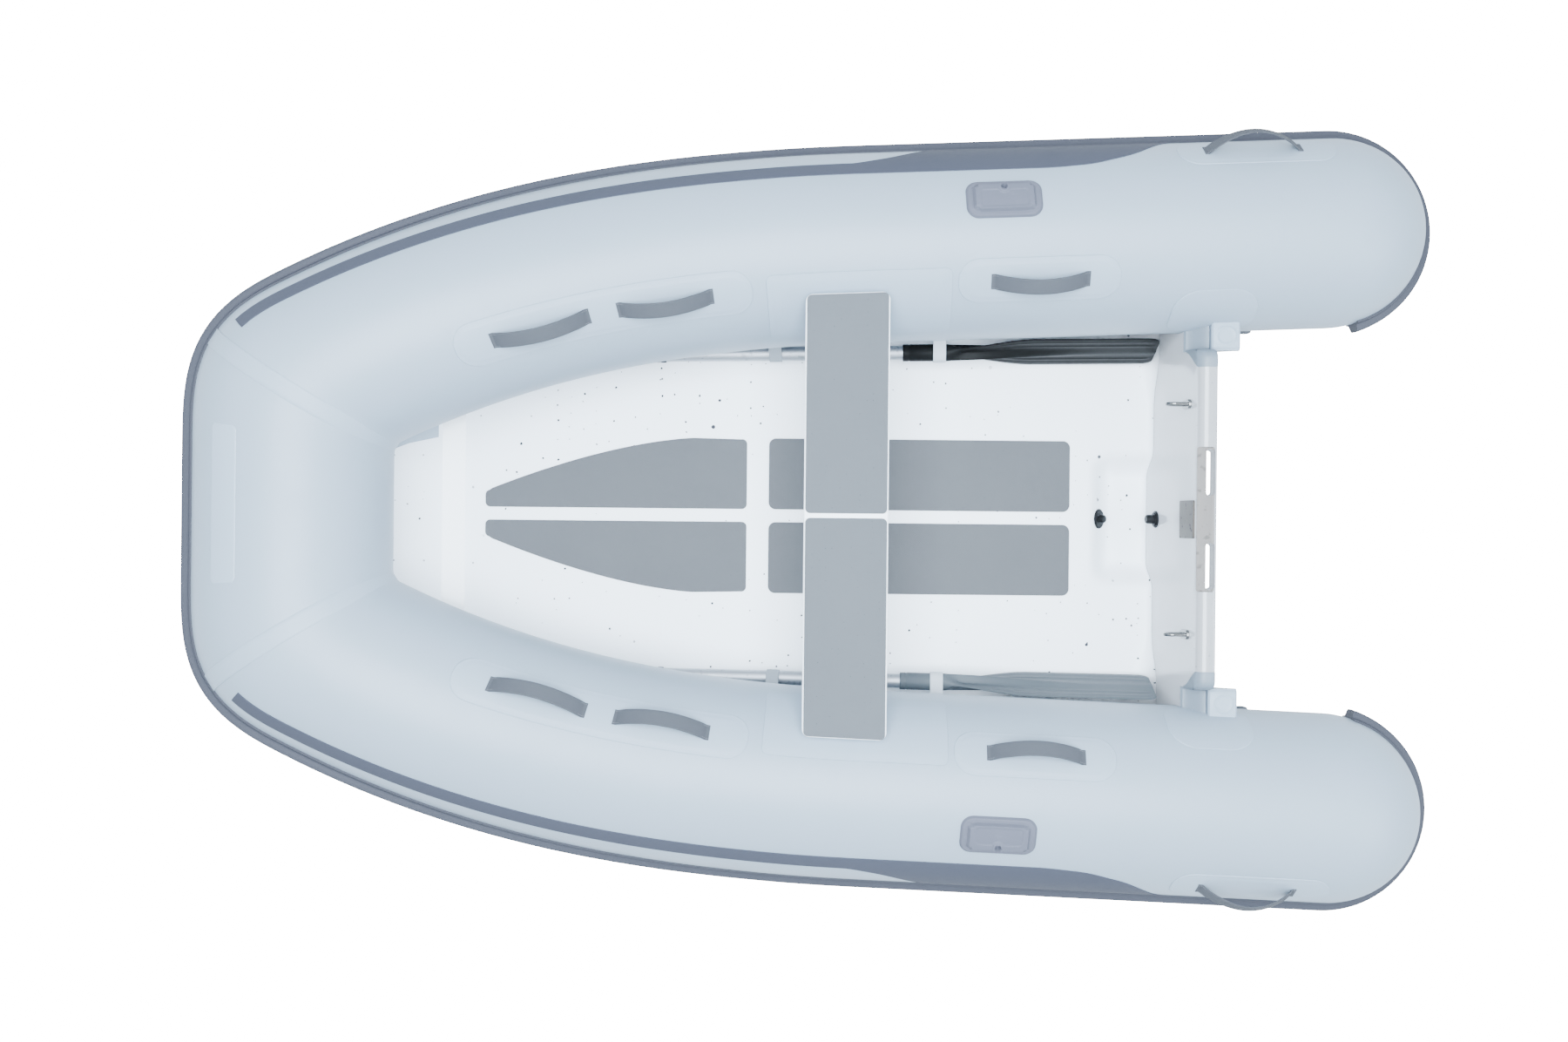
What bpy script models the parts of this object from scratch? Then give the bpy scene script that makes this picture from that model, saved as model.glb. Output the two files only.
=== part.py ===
"""A rigid inflatable tender: three air tubes bonded round a shallow V hull with a moulded deck.

Metres, +X towards the bow, +Y to port, +Z up. The origin is on the ground under the middle
of the boat. Angles round a tube start at its outer side and rise over its top to the cockpit.
"""
import math

import bmesh
import bpy
from mathutils import Matrix, Vector

PORT, STARBOARD = 1, -1
SIDES = {"port": PORT, "starboard": STARBOARD}
UP = Vector((0, 0, 1))

# Gaps between neighbours
fit_gap = 0.0003
glue_line = 0.0009
wrap_glue_line = 0.0024
stripe_glue_line = 0.0018
cut_overrun = 0.02

# Air tubes
tube_radius = 0.206
tube_centre_height = 0.29
tube_spread_width = 0.585
tube_splay_share = 0.041
bow_centre_x = 1.119
tail_centre_x = -1.1120
bend_start_x = -0.10
bow_draw_width = 0.274
bend_power = 2.36
bow_rise_height = 0.11
rise_start_x = 0.10
mitre_inner_radius = 0.03
mitre_bulge_share = 0.068
tube_segments = 24
dome_rings = 6
straight_rings = 4
bend_rings = 14
mitre_rings = 8
bow_rings = 3
round_segments = 16
small_segments = 12

# Rub strake
strake_height = 0.076
strake_proud = 0.020
strake_flange = 0.005
strake_edge = 0.003
strake_bow_lift = math.radians(15)
strake_wrap = math.radians(165)
strake_wrap_steps = 11

# Side stripes
stripe_thickness = 0.0012
stripe_low = math.radians(40)
stripe_high = math.radians(50.5)
stripe_bow_share = 0.375
swoosh_start_x = -0.07
swoosh_length = 0.69
swoosh_strake_gap = 0.003

# Hull
keel_strip_thickness = 0.005
keel_strip_width = 0.07
keel_strip_aft_x = -0.79
keel_flat_half = 0.045
keel_rise_x = 0.42
stem_x = 1.065
stem_rise_height = 0.175
keel_power = 3.2
hull_close_x = 0.70
rail_inset = 0.045
rail_drop = 0.206
chine_inset = 0.105
chine_height = 0.066
chine_lift = 0.022
chine_lift_x = 0.20
chine_sweep_x = 0.75
shoulder_angle = math.radians(238)
shoulder_lip = 0.008
hull_wall = 0.006
stem_wall = 0.03
bilge_ledge = 0.03
bilge_fore_x = 0.64
hull_stations = 9

# Deck
deck_height = 0.11
deck_thickness = 0.005
bow_deck_rise_height = 0.082
bow_deck_rise_x = 0.79
bow_deck_top_x = 1.03
sump_depth = 0.045
sump_half_width = 0.15
sump_side_run = 0.04
sump_face_run = 0.034
sump_fore_x = -0.642

# Frames in the bilge
frame_plate = 0.008
stringer_y = 0.20
frame_half_length = 0.62
frame_middle_share = 0.3

# Deck pads
pad_thickness = 0.003
pad_gap_half = 0.015
pad_outer_y = 0.179
pad_corner = 0.016
aft_pad_fore_x = 0.110
aft_pad_aft_x = -0.587
fore_pad_aft_x = 0.161
fore_pad_full_x = 0.31
fore_pad_tip_x = 0.766
fore_pad_tip_y = 0.052
fore_pad_power = 1.6

# Transom
transom_foot_x = -0.777
transom_rake = math.atan(0.1143)
transom_thickness = 0.040
transom_height = 0.40
transom_side_inset = 0.0135
transom_top_half = tube_spread_width - tube_radius - transom_side_inset
transom_step_height = 0.305
transom_corner = 0.014
recess_half = 0.155
recess_depth = 0.012
recess_skin = 0.0055
slot_width = 0.014
slot_inner_y = 0.050
slot_outer_y = 0.152
liner_thickness = 0.0025
motor_pad_width = 0.082
motor_pad_tall = 0.080
motor_pad_thickness = 0.004
motor_pad_height = 0.34
gusset_fore_x = -0.785
gusset_aft_x = -0.908
gusset_step_gap = 0.007
gusset_tall = 0.050
gusset_low = transom_step_height + gusset_step_gap
gusset_high = gusset_low + gusset_tall

# Transom drain
drain_height = 0.142
drain_flange_radius = 0.0195
drain_flange = 0.004
drain_barrel_radius = 0.0135
drain_bore_radius = 0.010
drain_knob_radius = 0.0105
drain_knob_length = 0.018
drain_shank = 0.03
drain_cap_rim = 0.0155

# Sump bung
bung_flange_radius = 0.023
bung_flange = 0.005
bung_shank_radius = 0.0135
bung_shank = 0.012
bung_knob_radius = 0.009
bung_knob = 0.012

# Lifting and towing eyes
eye_bar_radius = 0.0038
eye_loop_radius = 0.0155
eye_reach = 0.047
eye_plate_radius = 0.0125
eye_plate = 0.006
eye_height = 0.335
eye_y = 0.25
tow_eye_x = 0.93
tow_plate_length = 0.075
tow_plate_width = 0.03

# Seat
seat_fore_x = 0.033
seat_aft_x = -0.143
seat_top = 0.489
seat_depth = 0.028
seat_wall = 0.003
seat_end_fore_inset = 0.125
seat_end_aft_inset = 0.1176
seat_half_fore = tube_spread_width - seat_end_fore_inset
seat_half_aft = tube_spread_width - seat_end_aft_inset
seat_nose = 0.009
seat_corner = 0.016
seat_pad_thickness = 0.003
seat_pad_inset = 0.005
seat_pad_half_gap = 0.006
seat_pad_corner = 0.010
saddle_inner_inset = 0.187
saddle_outer_inset = 0.130
saddle_inner_y = tube_spread_width - saddle_inner_inset
saddle_outer_y = tube_spread_width - saddle_outer_inset
saddle_end_inset = 0.008

# Patches bonded on the tubes
patch_thickness = 0.002
patch_sink_share = 0.4
seat_patch_fore_x = 0.125
seat_patch_aft_x = -0.27
seat_patch_low = math.radians(112)
seat_patch_high = math.radians(160)
corner_limit_share = 0.9

# Grab handles
webbing_width = 0.034
webbing_thickness = 0.003
handle_length = 0.200
handle_arch = 0.043
handle_foot = 0.014
inner_handle_angle = math.radians(121)
outer_handle_angle = math.radians(38)
handle_forward_x = 0.608
handle_middle_x = 0.343
handle_aft_x = -0.454
handle_outer_x = -0.920
forward_patch_x = 0.6277
forward_patch_half = 0.1573
middle_patch_x = 0.3123
middle_patch_half = 0.1573
aft_patch_x = -0.452
aft_patch_half = 0.17
outer_patch_x = -0.928
outer_patch_half = 0.1675
handle_patch_half_width = 0.05

# Oarlock bases
oarlock_x = -0.380
oarlock_angle = math.radians(72.5)
oarlock_length = 0.159
oarlock_width = 0.085
oarlock_rim = 0.006
oarlock_block_length = 0.127
oarlock_block_width = 0.060
oarlock_block = 0.014
oarlock_pin_radius = 0.006
oarlock_pin_offset = math.radians(5.8)

# Oars
oar_shaft_radius = 0.016
oar_neck_x = -0.276
oar_side_gap = 0.0042
oar_neck_y = tube_spread_width - tube_radius - oar_side_gap
oar_neck_z = 0.1733
oar_pitch = math.radians(3.3)
oar_yaw = math.radians(0.6)
oar_lean = math.radians(16.5)
oar_tip_reach = 0.487
oar_grip_reach = 0.745
oar_grip_length = 0.12
oar_grip_radius = 0.0185
oar_socket_radius = 0.0195
oar_socket_length = 0.10
oar_socket_bore = 0.065
blade_length = 0.47
blade_half_width = 0.073
blade_edge = 0.0025
blade_tip_half = 0.0045
blade_rib = 0.0025

# Oar straps
strap_width = 0.029
strap_thickness = 0.0022
strap_clearance = 0.0005
fore_strap_x = 0.096
strap_anchor_angle = math.radians(204)
strap_plate_span = math.radians(7.5)
strap_plate_length = 0.05

# Inflation valves
valve_x = -0.95
valve_angle = math.radians(205)
bow_valve_y = 0.07
bow_valve_angle = math.radians(226)
valve_flange_radius = 0.025
valve_flange = 0.0025
valve_barrel_radius = 0.015
valve_barrel = 0.038
valve_bore_radius = 0.011
valve_bore = 0.012
valve_guide_radius = 0.0053
valve_guide = 0.024
valve_stem_radius = 0.005
valve_stem_head_radius = 0.008
valve_stem_head = 0.002
valve_stem_length = 0.018
valve_stem_top = 0.004
valve_cap_radius = 0.020
valve_cap_height = 0.009
valve_cap_plug = 0.004
valve_cap_bar = 0.004
valve_cap_bar_half_width = 0.003

paints = {}


def paint(name, colour, roughness, metallic=0.0):
    """Make the Principled material of one finish."""
    material = bpy.data.materials.new(name)
    material.use_nodes = True
    shader = material.node_tree.nodes["Principled BSDF"]
    shader.inputs["Base Color"].default_value = (*colour, 1.0)
    shader.inputs["Roughness"].default_value = roughness
    shader.inputs["Metallic"].default_value = metallic
    paints[name] = material


def smooth(share):
    """Ease from 0 to 1 with flat ends."""
    share = min(max(share, 0), 1)
    return share * share * (3 - 2 * share)


def spread(first, last, count):
    """Evenly spaced values, both ends included."""
    return [first + (last - first) * i / (count - 1) for i in range(count)]


def table_value(table, share):
    """Read a table of (share, value) pairs with straight lines between them."""
    for (s0, v0), (s1, v1) in zip(table, table[1:]):
        if share <= s1:
            return v0 + (v1 - v0) * max(share - s0, 0) / (s1 - s0)
    return table[-1][1]


def add_object(name, points, faces, material, side=PORT, sharp=35, carrier=None):
    """One closed mesh object; starboard pieces are the mirror image of port ones."""
    mesh = bpy.data.meshes.new(name)
    mesh.from_pydata([(p[0], p[1] * side, p[2]) for p in points], [], faces)
    shell = bmesh.new()
    shell.from_mesh(mesh)
    bmesh.ops.remove_doubles(shell, verts=shell.verts, dist=fit_gap / 100)
    bmesh.ops.recalc_face_normals(shell, faces=shell.faces)
    shell.to_mesh(mesh)
    shell.free()
    mesh.shade_smooth()
    mesh.set_sharp_from_angle(angle=math.radians(sharp))
    piece = bpy.data.objects.new(name, mesh)
    bpy.context.collection.objects.link(piece)
    if material:
        mesh.materials.append(paints[material])
    piece.parent = carrier or boat
    return piece


def hide_cutter(cutter):
    """Mark an object as a cutter that isn't part of the boat."""
    cutter.hide_render = True
    cutter.display_type = "WIRE"
    return cutter


def shape_with(piece, cutter, operation="DIFFERENCE"):
    """Cut a piece with a cutter, join them, or keep what they share."""
    step = piece.modifiers.new(operation.title(), "BOOLEAN")
    step.solver = "EXACT"
    step.operation = operation
    step.object = cutter
    hide_cutter(cutter)
    return piece


def grid_faces(rows, columns, closed_rows=False, closed_columns=False, first=0):
    """Quads over a grid of points stored row by row."""
    faces = []
    for i in range(rows if closed_rows else rows - 1):
        for j in range(columns if closed_columns else columns - 1):
            a = i * columns + j
            b = i * columns + (j + 1) % columns
            c = (i + 1) % rows * columns + (j + 1) % columns
            d = (i + 1) % rows * columns + j
            faces.append([first + k for k in (a, b, c, d)])
    return faces


def loft(name, rings, material, side=PORT, sharp=35, carrier=None, split=False):
    """Skin closed rings of points and cap both ends; split quads keep their planes in a Boolean."""
    points = [p for ring in rings for p in ring]
    count = len(rings[0])
    faces = grid_faces(len(rings), count, closed_columns=True)
    if split:
        faces = [half for a, b, c, d in faces for half in ([a, b, c], [a, c, d])]
    faces += [list(range(count)), [len(points) - count + k for k in range(count)]]
    return add_object(name, points, faces, material, side, sharp, carrier)


def slab_mesh(top, bottom):
    """Points and faces of the solid between two grids of points."""
    rows, columns = len(top), len(top[0])
    points = [p for row in top for p in row] + [p for row in bottom for p in row]
    half = rows * columns
    faces = grid_faces(rows, columns) + grid_faces(rows, columns, first=half)
    rim = [j for j in range(columns)]
    rim += [i * columns + columns - 1 for i in range(1, rows)]
    rim += [(rows - 1) * columns + j for j in range(columns - 2, -1, -1)]
    rim += [i * columns for i in range(rows - 2, 0, -1)]
    for a, b in zip(rim, rim[1:] + rim[:1]):
        faces.append([a, b, b + half, a + half])
    return points, faces


def slab(name, top, bottom, material, side=PORT, sharp=35, carrier=None):
    points, faces = slab_mesh(top, bottom)
    return add_object(name, points, faces, material, side, sharp, carrier)


def prism(name, outline, low, high, material, side=PORT, carrier=None):
    """An upright block over a flat outline."""
    rings = [[Vector((x, y, z)) for x, y in outline] for z in (low, high)]
    return loft(name, rings, material, side, carrier=carrier)


def turned_mesh(profile, segments, place=Matrix.Identity(4)):
    """A profile of (radius, height) pairs turned about +Z; closed where it meets the axis."""
    rings = []
    for radius, height in profile:
        ring = []
        for k in range(segments):
            turn = math.tau * k / segments
            ring.append(place @ Vector((radius * math.cos(turn), radius * math.sin(turn), height)))
        rings.append(ring)
    points = [p for ring in rings for p in ring]
    on_axis = profile[0][0] == 0
    faces = grid_faces(len(rings), segments, closed_rows=not on_axis, closed_columns=True)
    return points, faces


def turned(name, profile, segments, material, place, side=PORT, sharp=35, carrier=None):
    points, faces = turned_mesh(profile, segments, place)
    return add_object(name, points, faces, material, side, sharp, carrier)


def axis_place(point, direction):
    """The placement that stands +Z along a direction at a point."""
    return Matrix.Translation(point) @ direction.to_track_quat("Z", "Y").to_matrix().to_4x4()


def round_corners(corners, radius, steps=3):
    """Round every corner of a flat outline with an arc."""
    outline = []
    for k, corner in enumerate(corners):
        here = Vector(corner)
        before = (Vector(corners[k - 1]) - here).normalized()
        after = (Vector(corners[(k + 1) % len(corners)]) - here).normalized()
        half = before.angle(after) / 2
        centre = here + (before + after).normalized() * (radius / math.sin(half))
        start = here + before * (radius / math.tan(half)) - centre
        end = here + after * (radius / math.tan(half)) - centre
        sweep = start.angle_signed(end)
        for i in range(steps + 1):
            spoke = start.copy()
            spoke.rotate(Matrix.Rotation(-sweep * i / steps, 2))
            outline.append(tuple(centre + spoke))
    return outline


# Shape of the tubes

def centre_y(x):
    """Distance of a side tube's centreline from the middle of the boat."""
    run = max(x - bend_start_x, 0) / (bow_centre_x - bend_start_x)
    return tube_spread_width - tube_splay_share * x - bow_draw_width * run ** bend_power


def centre_slope(x):
    full = bow_centre_x - bend_start_x
    run = max(x - bend_start_x, 0) / full
    return -tube_splay_share - bow_draw_width * bend_power / full * run ** (bend_power - 1)


def centre_z(x):
    return tube_centre_height + bow_rise_height * smooth((x - rise_start_x) / (bow_centre_x - rise_start_x))


class Slice:
    """An upright slice of a tube: its centre, the way out of the boat, and its half width."""

    def __init__(self, centre, out, half_width=None, height=None):
        self.centre = Vector(centre)
        self.out = Vector(out).normalized()
        self.half_width = tube_radius if half_width is None else half_width
        self.height = tube_radius if height is None else height

    def normal(self, angle):
        return self.out * math.cos(angle) + UP * math.sin(angle)

    def tangent(self, angle):
        return UP * math.cos(angle) - self.out * math.sin(angle)

    def at(self, angle, off=0, across=0):
        """A point on the skin, lifted off it, and shifted along the tangent."""
        wide = self.out * math.cos(angle) * (self.half_width + off)
        tall = UP * math.sin(angle) * (self.height + off)
        return self.centre + wide + tall + self.tangent(angle) * across

    def ring(self, off=0, shift=Vector((0, 0, 0))):
        turns = [math.tau * k / tube_segments for k in range(tube_segments)]
        return [self.at(turn, off) + shift for turn in turns]


def side_slice(x):
    slope = centre_slope(x)
    return Slice((x, centre_y(x), centre_z(x)), (-slope, 1, 0))


def mitre_pivot():
    """Find where the fan of mitre slices turns, and the side slice that it starts from."""
    reach = tube_radius + mitre_inner_radius
    pivot_x = bow_centre_x - reach
    low, high = 0, bow_centre_x
    for _ in range(60):
        middle = (low + high) / 2
        inner = side_slice(middle).centre - side_slice(middle).out * reach
        low, high = (middle, high) if inner.x < pivot_x else (low, middle)
    return side_slice(low).centre - side_slice(low).out * reach, low


mitre_centre, mitre_x = mitre_pivot()


def mitre_slice(share):
    """A slice of the mitred bow corner: share 0 at the side tube, 1 at the bow tube."""
    start = side_slice(mitre_x).out
    turn = math.atan2(start.y, start.x) * (1 - share)
    out = Vector((math.cos(turn), math.sin(turn), 0))
    half_width = tube_radius * (1 + mitre_bulge_share * math.sin(math.pi * share) ** 2)
    centre = mitre_centre + out * (mitre_inner_radius + half_width)
    centre.z = centre_z(centre.x)
    return Slice(centre, out, half_width)


def bow_slice(y):
    return Slice((bow_centre_x, y, centre_z(bow_centre_x)), (1, 0, 0))


def tail_slice(turn):
    """A slice through the middle of the round tail, turned aft from the boat's outer side."""
    base = side_slice(tail_centre_x)
    aft = Vector((-base.out.y, base.out.x, 0))
    return Slice(base.centre, base.out * math.cos(turn) + aft * math.sin(turn))


def dome_slice(share):
    """A slice across the round tail: share 0 at its start, 1 at its tip."""
    base = side_slice(tail_centre_x)
    aft = Vector((-base.out.y, base.out.x, 0))
    turn = math.pi / 2 * share
    size = tube_radius * max(math.cos(turn), 0)
    return Slice(base.centre + aft * tube_radius * math.sin(turn), base.out, size, size)


def bend_xs():
    """Stations along the part of a side tube that bends; pieces bonded on it share them."""
    return spread(bend_start_x, mitre_x, bend_rings)


def side_slices():
    """Slices from the tail's tip to the start of the mitre."""
    tail = [dome_slice(1 - k / dome_rings) for k in range(dome_rings)]
    straight = [side_slice(x) for x in spread(tail_centre_x, bend_start_x, straight_rings)]
    return tail + straight + [side_slice(x) for x in bend_xs()[1:]]


def full_run():
    """All slices from the port tail round the bow, to the middle of the boat."""
    corner = [mitre_slice(k / mitre_rings) for k in range(1, mitre_rings + 1)]
    front = [bow_slice(y) for y in spread(mitre_centre.y, 0, bow_rings)]
    return side_slices() + corner + front[1:]


def mirror_points(points):
    return [Vector((p.x, -p.y, p.z)) for p in points]


def make_tubes():
    """The side tubes end, and the bow tube starts, in the middle of each mitred corner.

    Their flat end faces there are the walls between the three air chambers.
    """
    seam = mitre_rings // 2
    seam_slice = mitre_slice(seam / mitre_rings)
    across = Vector((seam_slice.out.y, -seam_slice.out.x, 0)) * (fit_gap / 2)
    side_rings = [s.ring() for s in side_slices()]
    side_rings += [mitre_slice(k / mitre_rings).ring() for k in range(1, seam)]
    side_rings.append(seam_slice.ring(shift=-across))
    for name, side in SIDES.items():
        loft(f"{name}_tube", side_rings, "tube fabric", side)
    half = [seam_slice.ring(shift=across)]
    half += [mitre_slice(k / mitre_rings).ring() for k in range(seam + 1, mitre_rings + 1)]
    half += [bow_slice(y).ring() for y in spread(mitre_centre.y, 0, bow_rings)[1:]]
    other = [mirror_points(ring) for ring in reversed(half[:-1])]
    loft("bow_tube", half + other, "tube fabric")


def tube_cutter():
    """The whole inflated collar with its glue line, which cuts what is bonded to it."""
    half = [s.ring(glue_line) for s in full_run()]
    other = [mirror_points(ring) for ring in reversed(half[:-1])]
    return hide_cutter(loft("collar_cutter", half + other, None))


# Pieces that follow the skin of the tubes

def skin_slab(slices, low, high, steps, base, thickness):
    """Solid of one thickness on the skin, between two angles for each slice."""
    top, bottom = [], []
    for i, piece in enumerate(slices):
        angles = spread(low[i], high[i], steps)
        top.append([piece.at(a, base + thickness) for a in angles])
        bottom.append([piece.at(a, base) for a in angles])
    return slab_mesh(top, bottom)


def corner_share(distance, corner, half):
    """Half width of a rounded patch at a distance from its end, as a share of its half width."""
    if distance >= corner:
        return 1
    return 1 - (corner - math.sqrt(corner ** 2 - (corner - distance) ** 2)) / half


def rounded_patch(fore_x, aft_x, low, high, corner, base, thickness, steps=5):
    """A patch with rounded corners, bonded on a side tube."""
    half = (high - low) / 2 * tube_radius
    corner = min(corner, half * corner_limit_share)
    length = fore_x - aft_x
    round_shares = (0, 0.15, 0.5, 1)
    ends = [corner * s for s in round_shares]
    inside = [fore_x - x for x in reversed(bend_xs())]
    inside = [d for d in inside if corner * 1.1 < d < length - corner * 1.1]
    distances = ends + inside + [length - d for d in reversed(ends)]
    middle = (high + low) / 2
    slices, lows, highs = [], [], []
    for distance in distances:
        reach = (high - low) / 2 * corner_share(min(distance, length - distance), corner, half)
        slices.append(side_slice(fore_x - distance))
        lows.append(middle - reach)
        highs.append(middle + reach)
    return skin_slab(slices, lows, highs, steps, base, thickness)


def make_strake():
    """A moulded bumper round the whole collar, from one inner tail side to the other."""
    half_angle = strake_height / 2 / tube_radius
    outer_shares = ((-1, strake_edge), (-0.62, strake_flange), (-0.45, strake_proud * 0.8),
                    (-0.2, strake_proud), (0.2, strake_proud), (0.45, strake_proud * 0.8),
                    (0.62, strake_flange), (1, strake_edge))
    base_shares = spread(1, -1, 4)
    wrap = [tail_slice(strake_wrap * (1 - k / strake_wrap_steps)) for k in range(strake_wrap_steps)]
    run = wrap + full_run()[dome_rings:]
    rings = []
    for k, piece in enumerate(run):
        lift = strake_bow_lift * smooth(piece.centre.x / bow_centre_x)
        base = wrap_glue_line if k < strake_wrap_steps else glue_line
        ring = [piece.at(lift + s * half_angle, base + off) for s, off in outer_shares]
        ring += [piece.at(lift + s * half_angle, base) for s in base_shares]
        rings.append(ring)
    other = [mirror_points(ring) for ring in reversed(rings[:-1])]
    loft("rub_strake", rings + other, "strake rubber", sharp=50)


def stripe_run():
    """Slices and angle limits of a side stripe, from its swept end aft to the bow corner."""
    swoosh_end_x = swoosh_start_x - swoosh_length
    strake_top = strake_height / 2 / tube_radius + swoosh_strake_gap / tube_radius
    low_shares = ((0, stripe_low), (0.12, stripe_low * 0.83), (0.2, stripe_low * 0.6),
                  (0.28, strake_top), (1, strake_top))
    high_shares = ((0, stripe_high), (0.61, stripe_high), (0.74, stripe_high * 0.95),
                   (0.87, stripe_high * 0.77), (0.95, stripe_high * 0.5), (1, strake_top * 1.15))
    xs = [swoosh_start_x - swoosh_length * s for s in (1, 0.975, 0.95, 0.91, 0.87, 0.8, 0.74, 0.61,
                                                      0.44, 0.28, 0.24, 0.2, 0.16, 0.12, 0.05)]
    xs += bend_xs()
    corner_steps = round(stripe_bow_share * mitre_rings)
    slices = [side_slice(x) for x in xs]
    slices += [mitre_slice(stripe_bow_share * k / corner_steps) for k in range(1, corner_steps + 1)]
    lows, highs = [], []
    for piece, x in zip(slices, xs + [mitre_x] * corner_steps):
        share = (swoosh_start_x - x) / (swoosh_start_x - swoosh_end_x)
        lows.append(table_value(low_shares, max(share, 0)))
        highs.append(table_value(high_shares, max(share, 0)))
    return slices, lows, highs


def make_stripes():
    slices, lows, highs = stripe_run()
    points, faces = skin_slab(slices, lows, highs, 5, stripe_glue_line, stripe_thickness)
    for name, side in SIDES.items():
        add_object(f"side_stripe_{name}", points, faces, "stripe fabric", side)


def webbing_arch(x, angle):
    """Top and bottom grids of a webbing loop: flat feet sunk in the patch and an arched middle."""
    base = glue_line + patch_thickness * patch_sink_share
    half_width = webbing_width / 2
    foot_share = handle_foot / handle_length
    shares = [0] + spread(foot_share, 1 - foot_share, 11) + [1]
    low_rows, high_rows = [], []
    for share in shares:
        rise = (share - foot_share) / (1 - 2 * foot_share)
        lift = base + (handle_arch * math.sin(math.pi * rise) ** 0.75 if 0 < rise < 1 else 0)
        piece = side_slice(x + handle_length * (0.5 - share))
        low_rows.append([piece.at(angle, lift, w) for w in (-half_width, half_width)])
        high = lift + webbing_thickness
        high_rows.append([piece.at(angle, high, w) for w in (-half_width, half_width)])
    return high_rows, low_rows


def make_handles():
    """Four bonded patches a side, each with a webbing loop; the two forward ones meet end to end."""
    half = handle_patch_half_width / tube_radius
    patches = {
        "handle_forward": (forward_patch_x, forward_patch_half, inner_handle_angle, handle_forward_x),
        "handle_middle": (middle_patch_x, middle_patch_half, inner_handle_angle, handle_middle_x),
        "handle_aft": (aft_patch_x, aft_patch_half, inner_handle_angle, handle_aft_x),
        "handle_outer": (outer_patch_x, outer_patch_half, outer_handle_angle, handle_outer_x),
    }
    for label, (middle_x, half_length, angle, loop_x) in patches.items():
        points, faces = rounded_patch(middle_x + half_length, middle_x - half_length, angle - half,
                                      angle + half, handle_patch_half_width, glue_line, patch_thickness)
        for name, side in SIDES.items():
            patch = add_object(f"{label}_{name}", points, faces, "webbing", side)
            arch = slab(f"{label}_loop_{name}", *webbing_arch(loop_x, angle), None, side, sharp=50)
            shape_with(patch, arch, "UNION")


def make_oarlock_bases():
    """A rubber plinth with a raised block that takes the oarlock's pin."""
    lengths = (1, 0.97, 0.9, 0.855, 0.82, -0.82, -0.855, -0.9, -0.97, -1)
    widths = (-1, -0.93, -0.75, -0.68, -0.23, 0.23, 0.68, 0.75, 0.93, 1)
    half_angle = oarlock_width / 2 / tube_radius
    block_l = oarlock_block_length / oarlock_length + 0.01
    block_w = oarlock_block_width / oarlock_width + 0.01
    corner_shares = {1: 0.72, 0.97: 0.88, 0.9: 0.98}
    top, bottom = [], []
    for s in lengths:
        piece = side_slice(oarlock_x + oarlock_length / 2 * s)
        squeeze = corner_shares.get(abs(s), 1)
        high, low = [], []
        for w in widths:
            raised = abs(s) <= block_l and abs(w) <= block_w
            rim = oarlock_rim * (0.5 if abs(s) == 1 or abs(w) == 1 else 1)
            angle = oarlock_angle + half_angle * w * squeeze
            high.append(piece.at(angle, glue_line + (oarlock_block if raised else rim)))
            low.append(piece.at(angle, glue_line))
        top.append(high)
        bottom.append(low)
    piece = side_slice(oarlock_x)
    pin_angle = oarlock_angle - oarlock_pin_offset
    floor = piece.at(pin_angle, glue_line + oarlock_rim / 2)
    profile = ((0, 0), (oarlock_pin_radius, 0), (oarlock_pin_radius, oarlock_block + cut_overrun),
               (0, oarlock_block + cut_overrun))
    for name, side in SIDES.items():
        base = slab(f"oarlock_base_{name}", top, bottom, "oarlock rubber", side)
        place = axis_place(floor, piece.normal(pin_angle))
        shape_with(base, turned(f"oarlock_pin_cutter_{name}", profile, small_segments, None, place, side))


# Hull, deck and transom

def keel_z(x):
    run = max(x - keel_rise_x, 0) / (stem_x - keel_rise_x)
    return keel_strip_thickness + fit_gap + stem_rise_height * run ** keel_power


def hull_close(x):
    """How far the hull has drawn in towards the stem, as a share of its width."""
    run = max(x - hull_close_x, 0) / (stem_x - hull_close_x)
    return math.sqrt(max(1 - run ** 3, 0))


def shoulder_y(x):
    """Where the wall that the deck ends against stands; it closes a little before the hull does."""
    wall = centre_y(x) + tube_radius * math.cos(shoulder_angle) - shoulder_lip
    return wall * hull_close(x + stem_wall)


def bed_z(x):
    rise = smooth((x - bow_deck_rise_x) / (bow_deck_top_x - bow_deck_rise_x))
    return deck_height - deck_thickness - fit_gap + bow_deck_rise_height * rise


def transom_x(z, off=0):
    """Where the transom's inner face is at a height, or a face parallel to it further aft."""
    return transom_foot_x - (z - deck_height) * math.tan(transom_rake) - off / math.cos(transom_rake)


def chine_z(x):
    """Height of the hard chine, which sweeps up to the tubes at the bow."""
    flat = chine_height + chine_lift * smooth((x - chine_lift_x) / (hull_close_x - chine_lift_x))
    sweep = smooth((x - chine_sweep_x) / (stem_x - chine_sweep_x)) ** 2
    return flat + (centre_z(x) - rail_drop - flat) * sweep


def hull_half_section(x):
    """Outline of half the hull below the tubes, from the keel out to its edge and back."""
    close = hull_close(x)
    keel = keel_z(x)
    rail_y = (centre_y(x) - rail_inset) * close
    shoulder_top = centre_z(x) + tube_radius * math.sin(shoulder_angle)
    chine = ((centre_y(x) - chine_inset) * close, max(chine_z(x), keel + hull_wall))
    return [(0, keel), (keel_flat_half * close, keel), chine, (rail_y, centre_z(x) - rail_drop),
            (rail_y, shoulder_top), (0, shoulder_top)]


def whole_section(half, x_at):
    """A full section ring from half of it; x may depend on height."""
    port = [Vector((x_at(z), y, z)) for y, z in half]
    return port + [Vector((p.x, -p.y, p.z)) for p in reversed(port[1:-1])]


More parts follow.
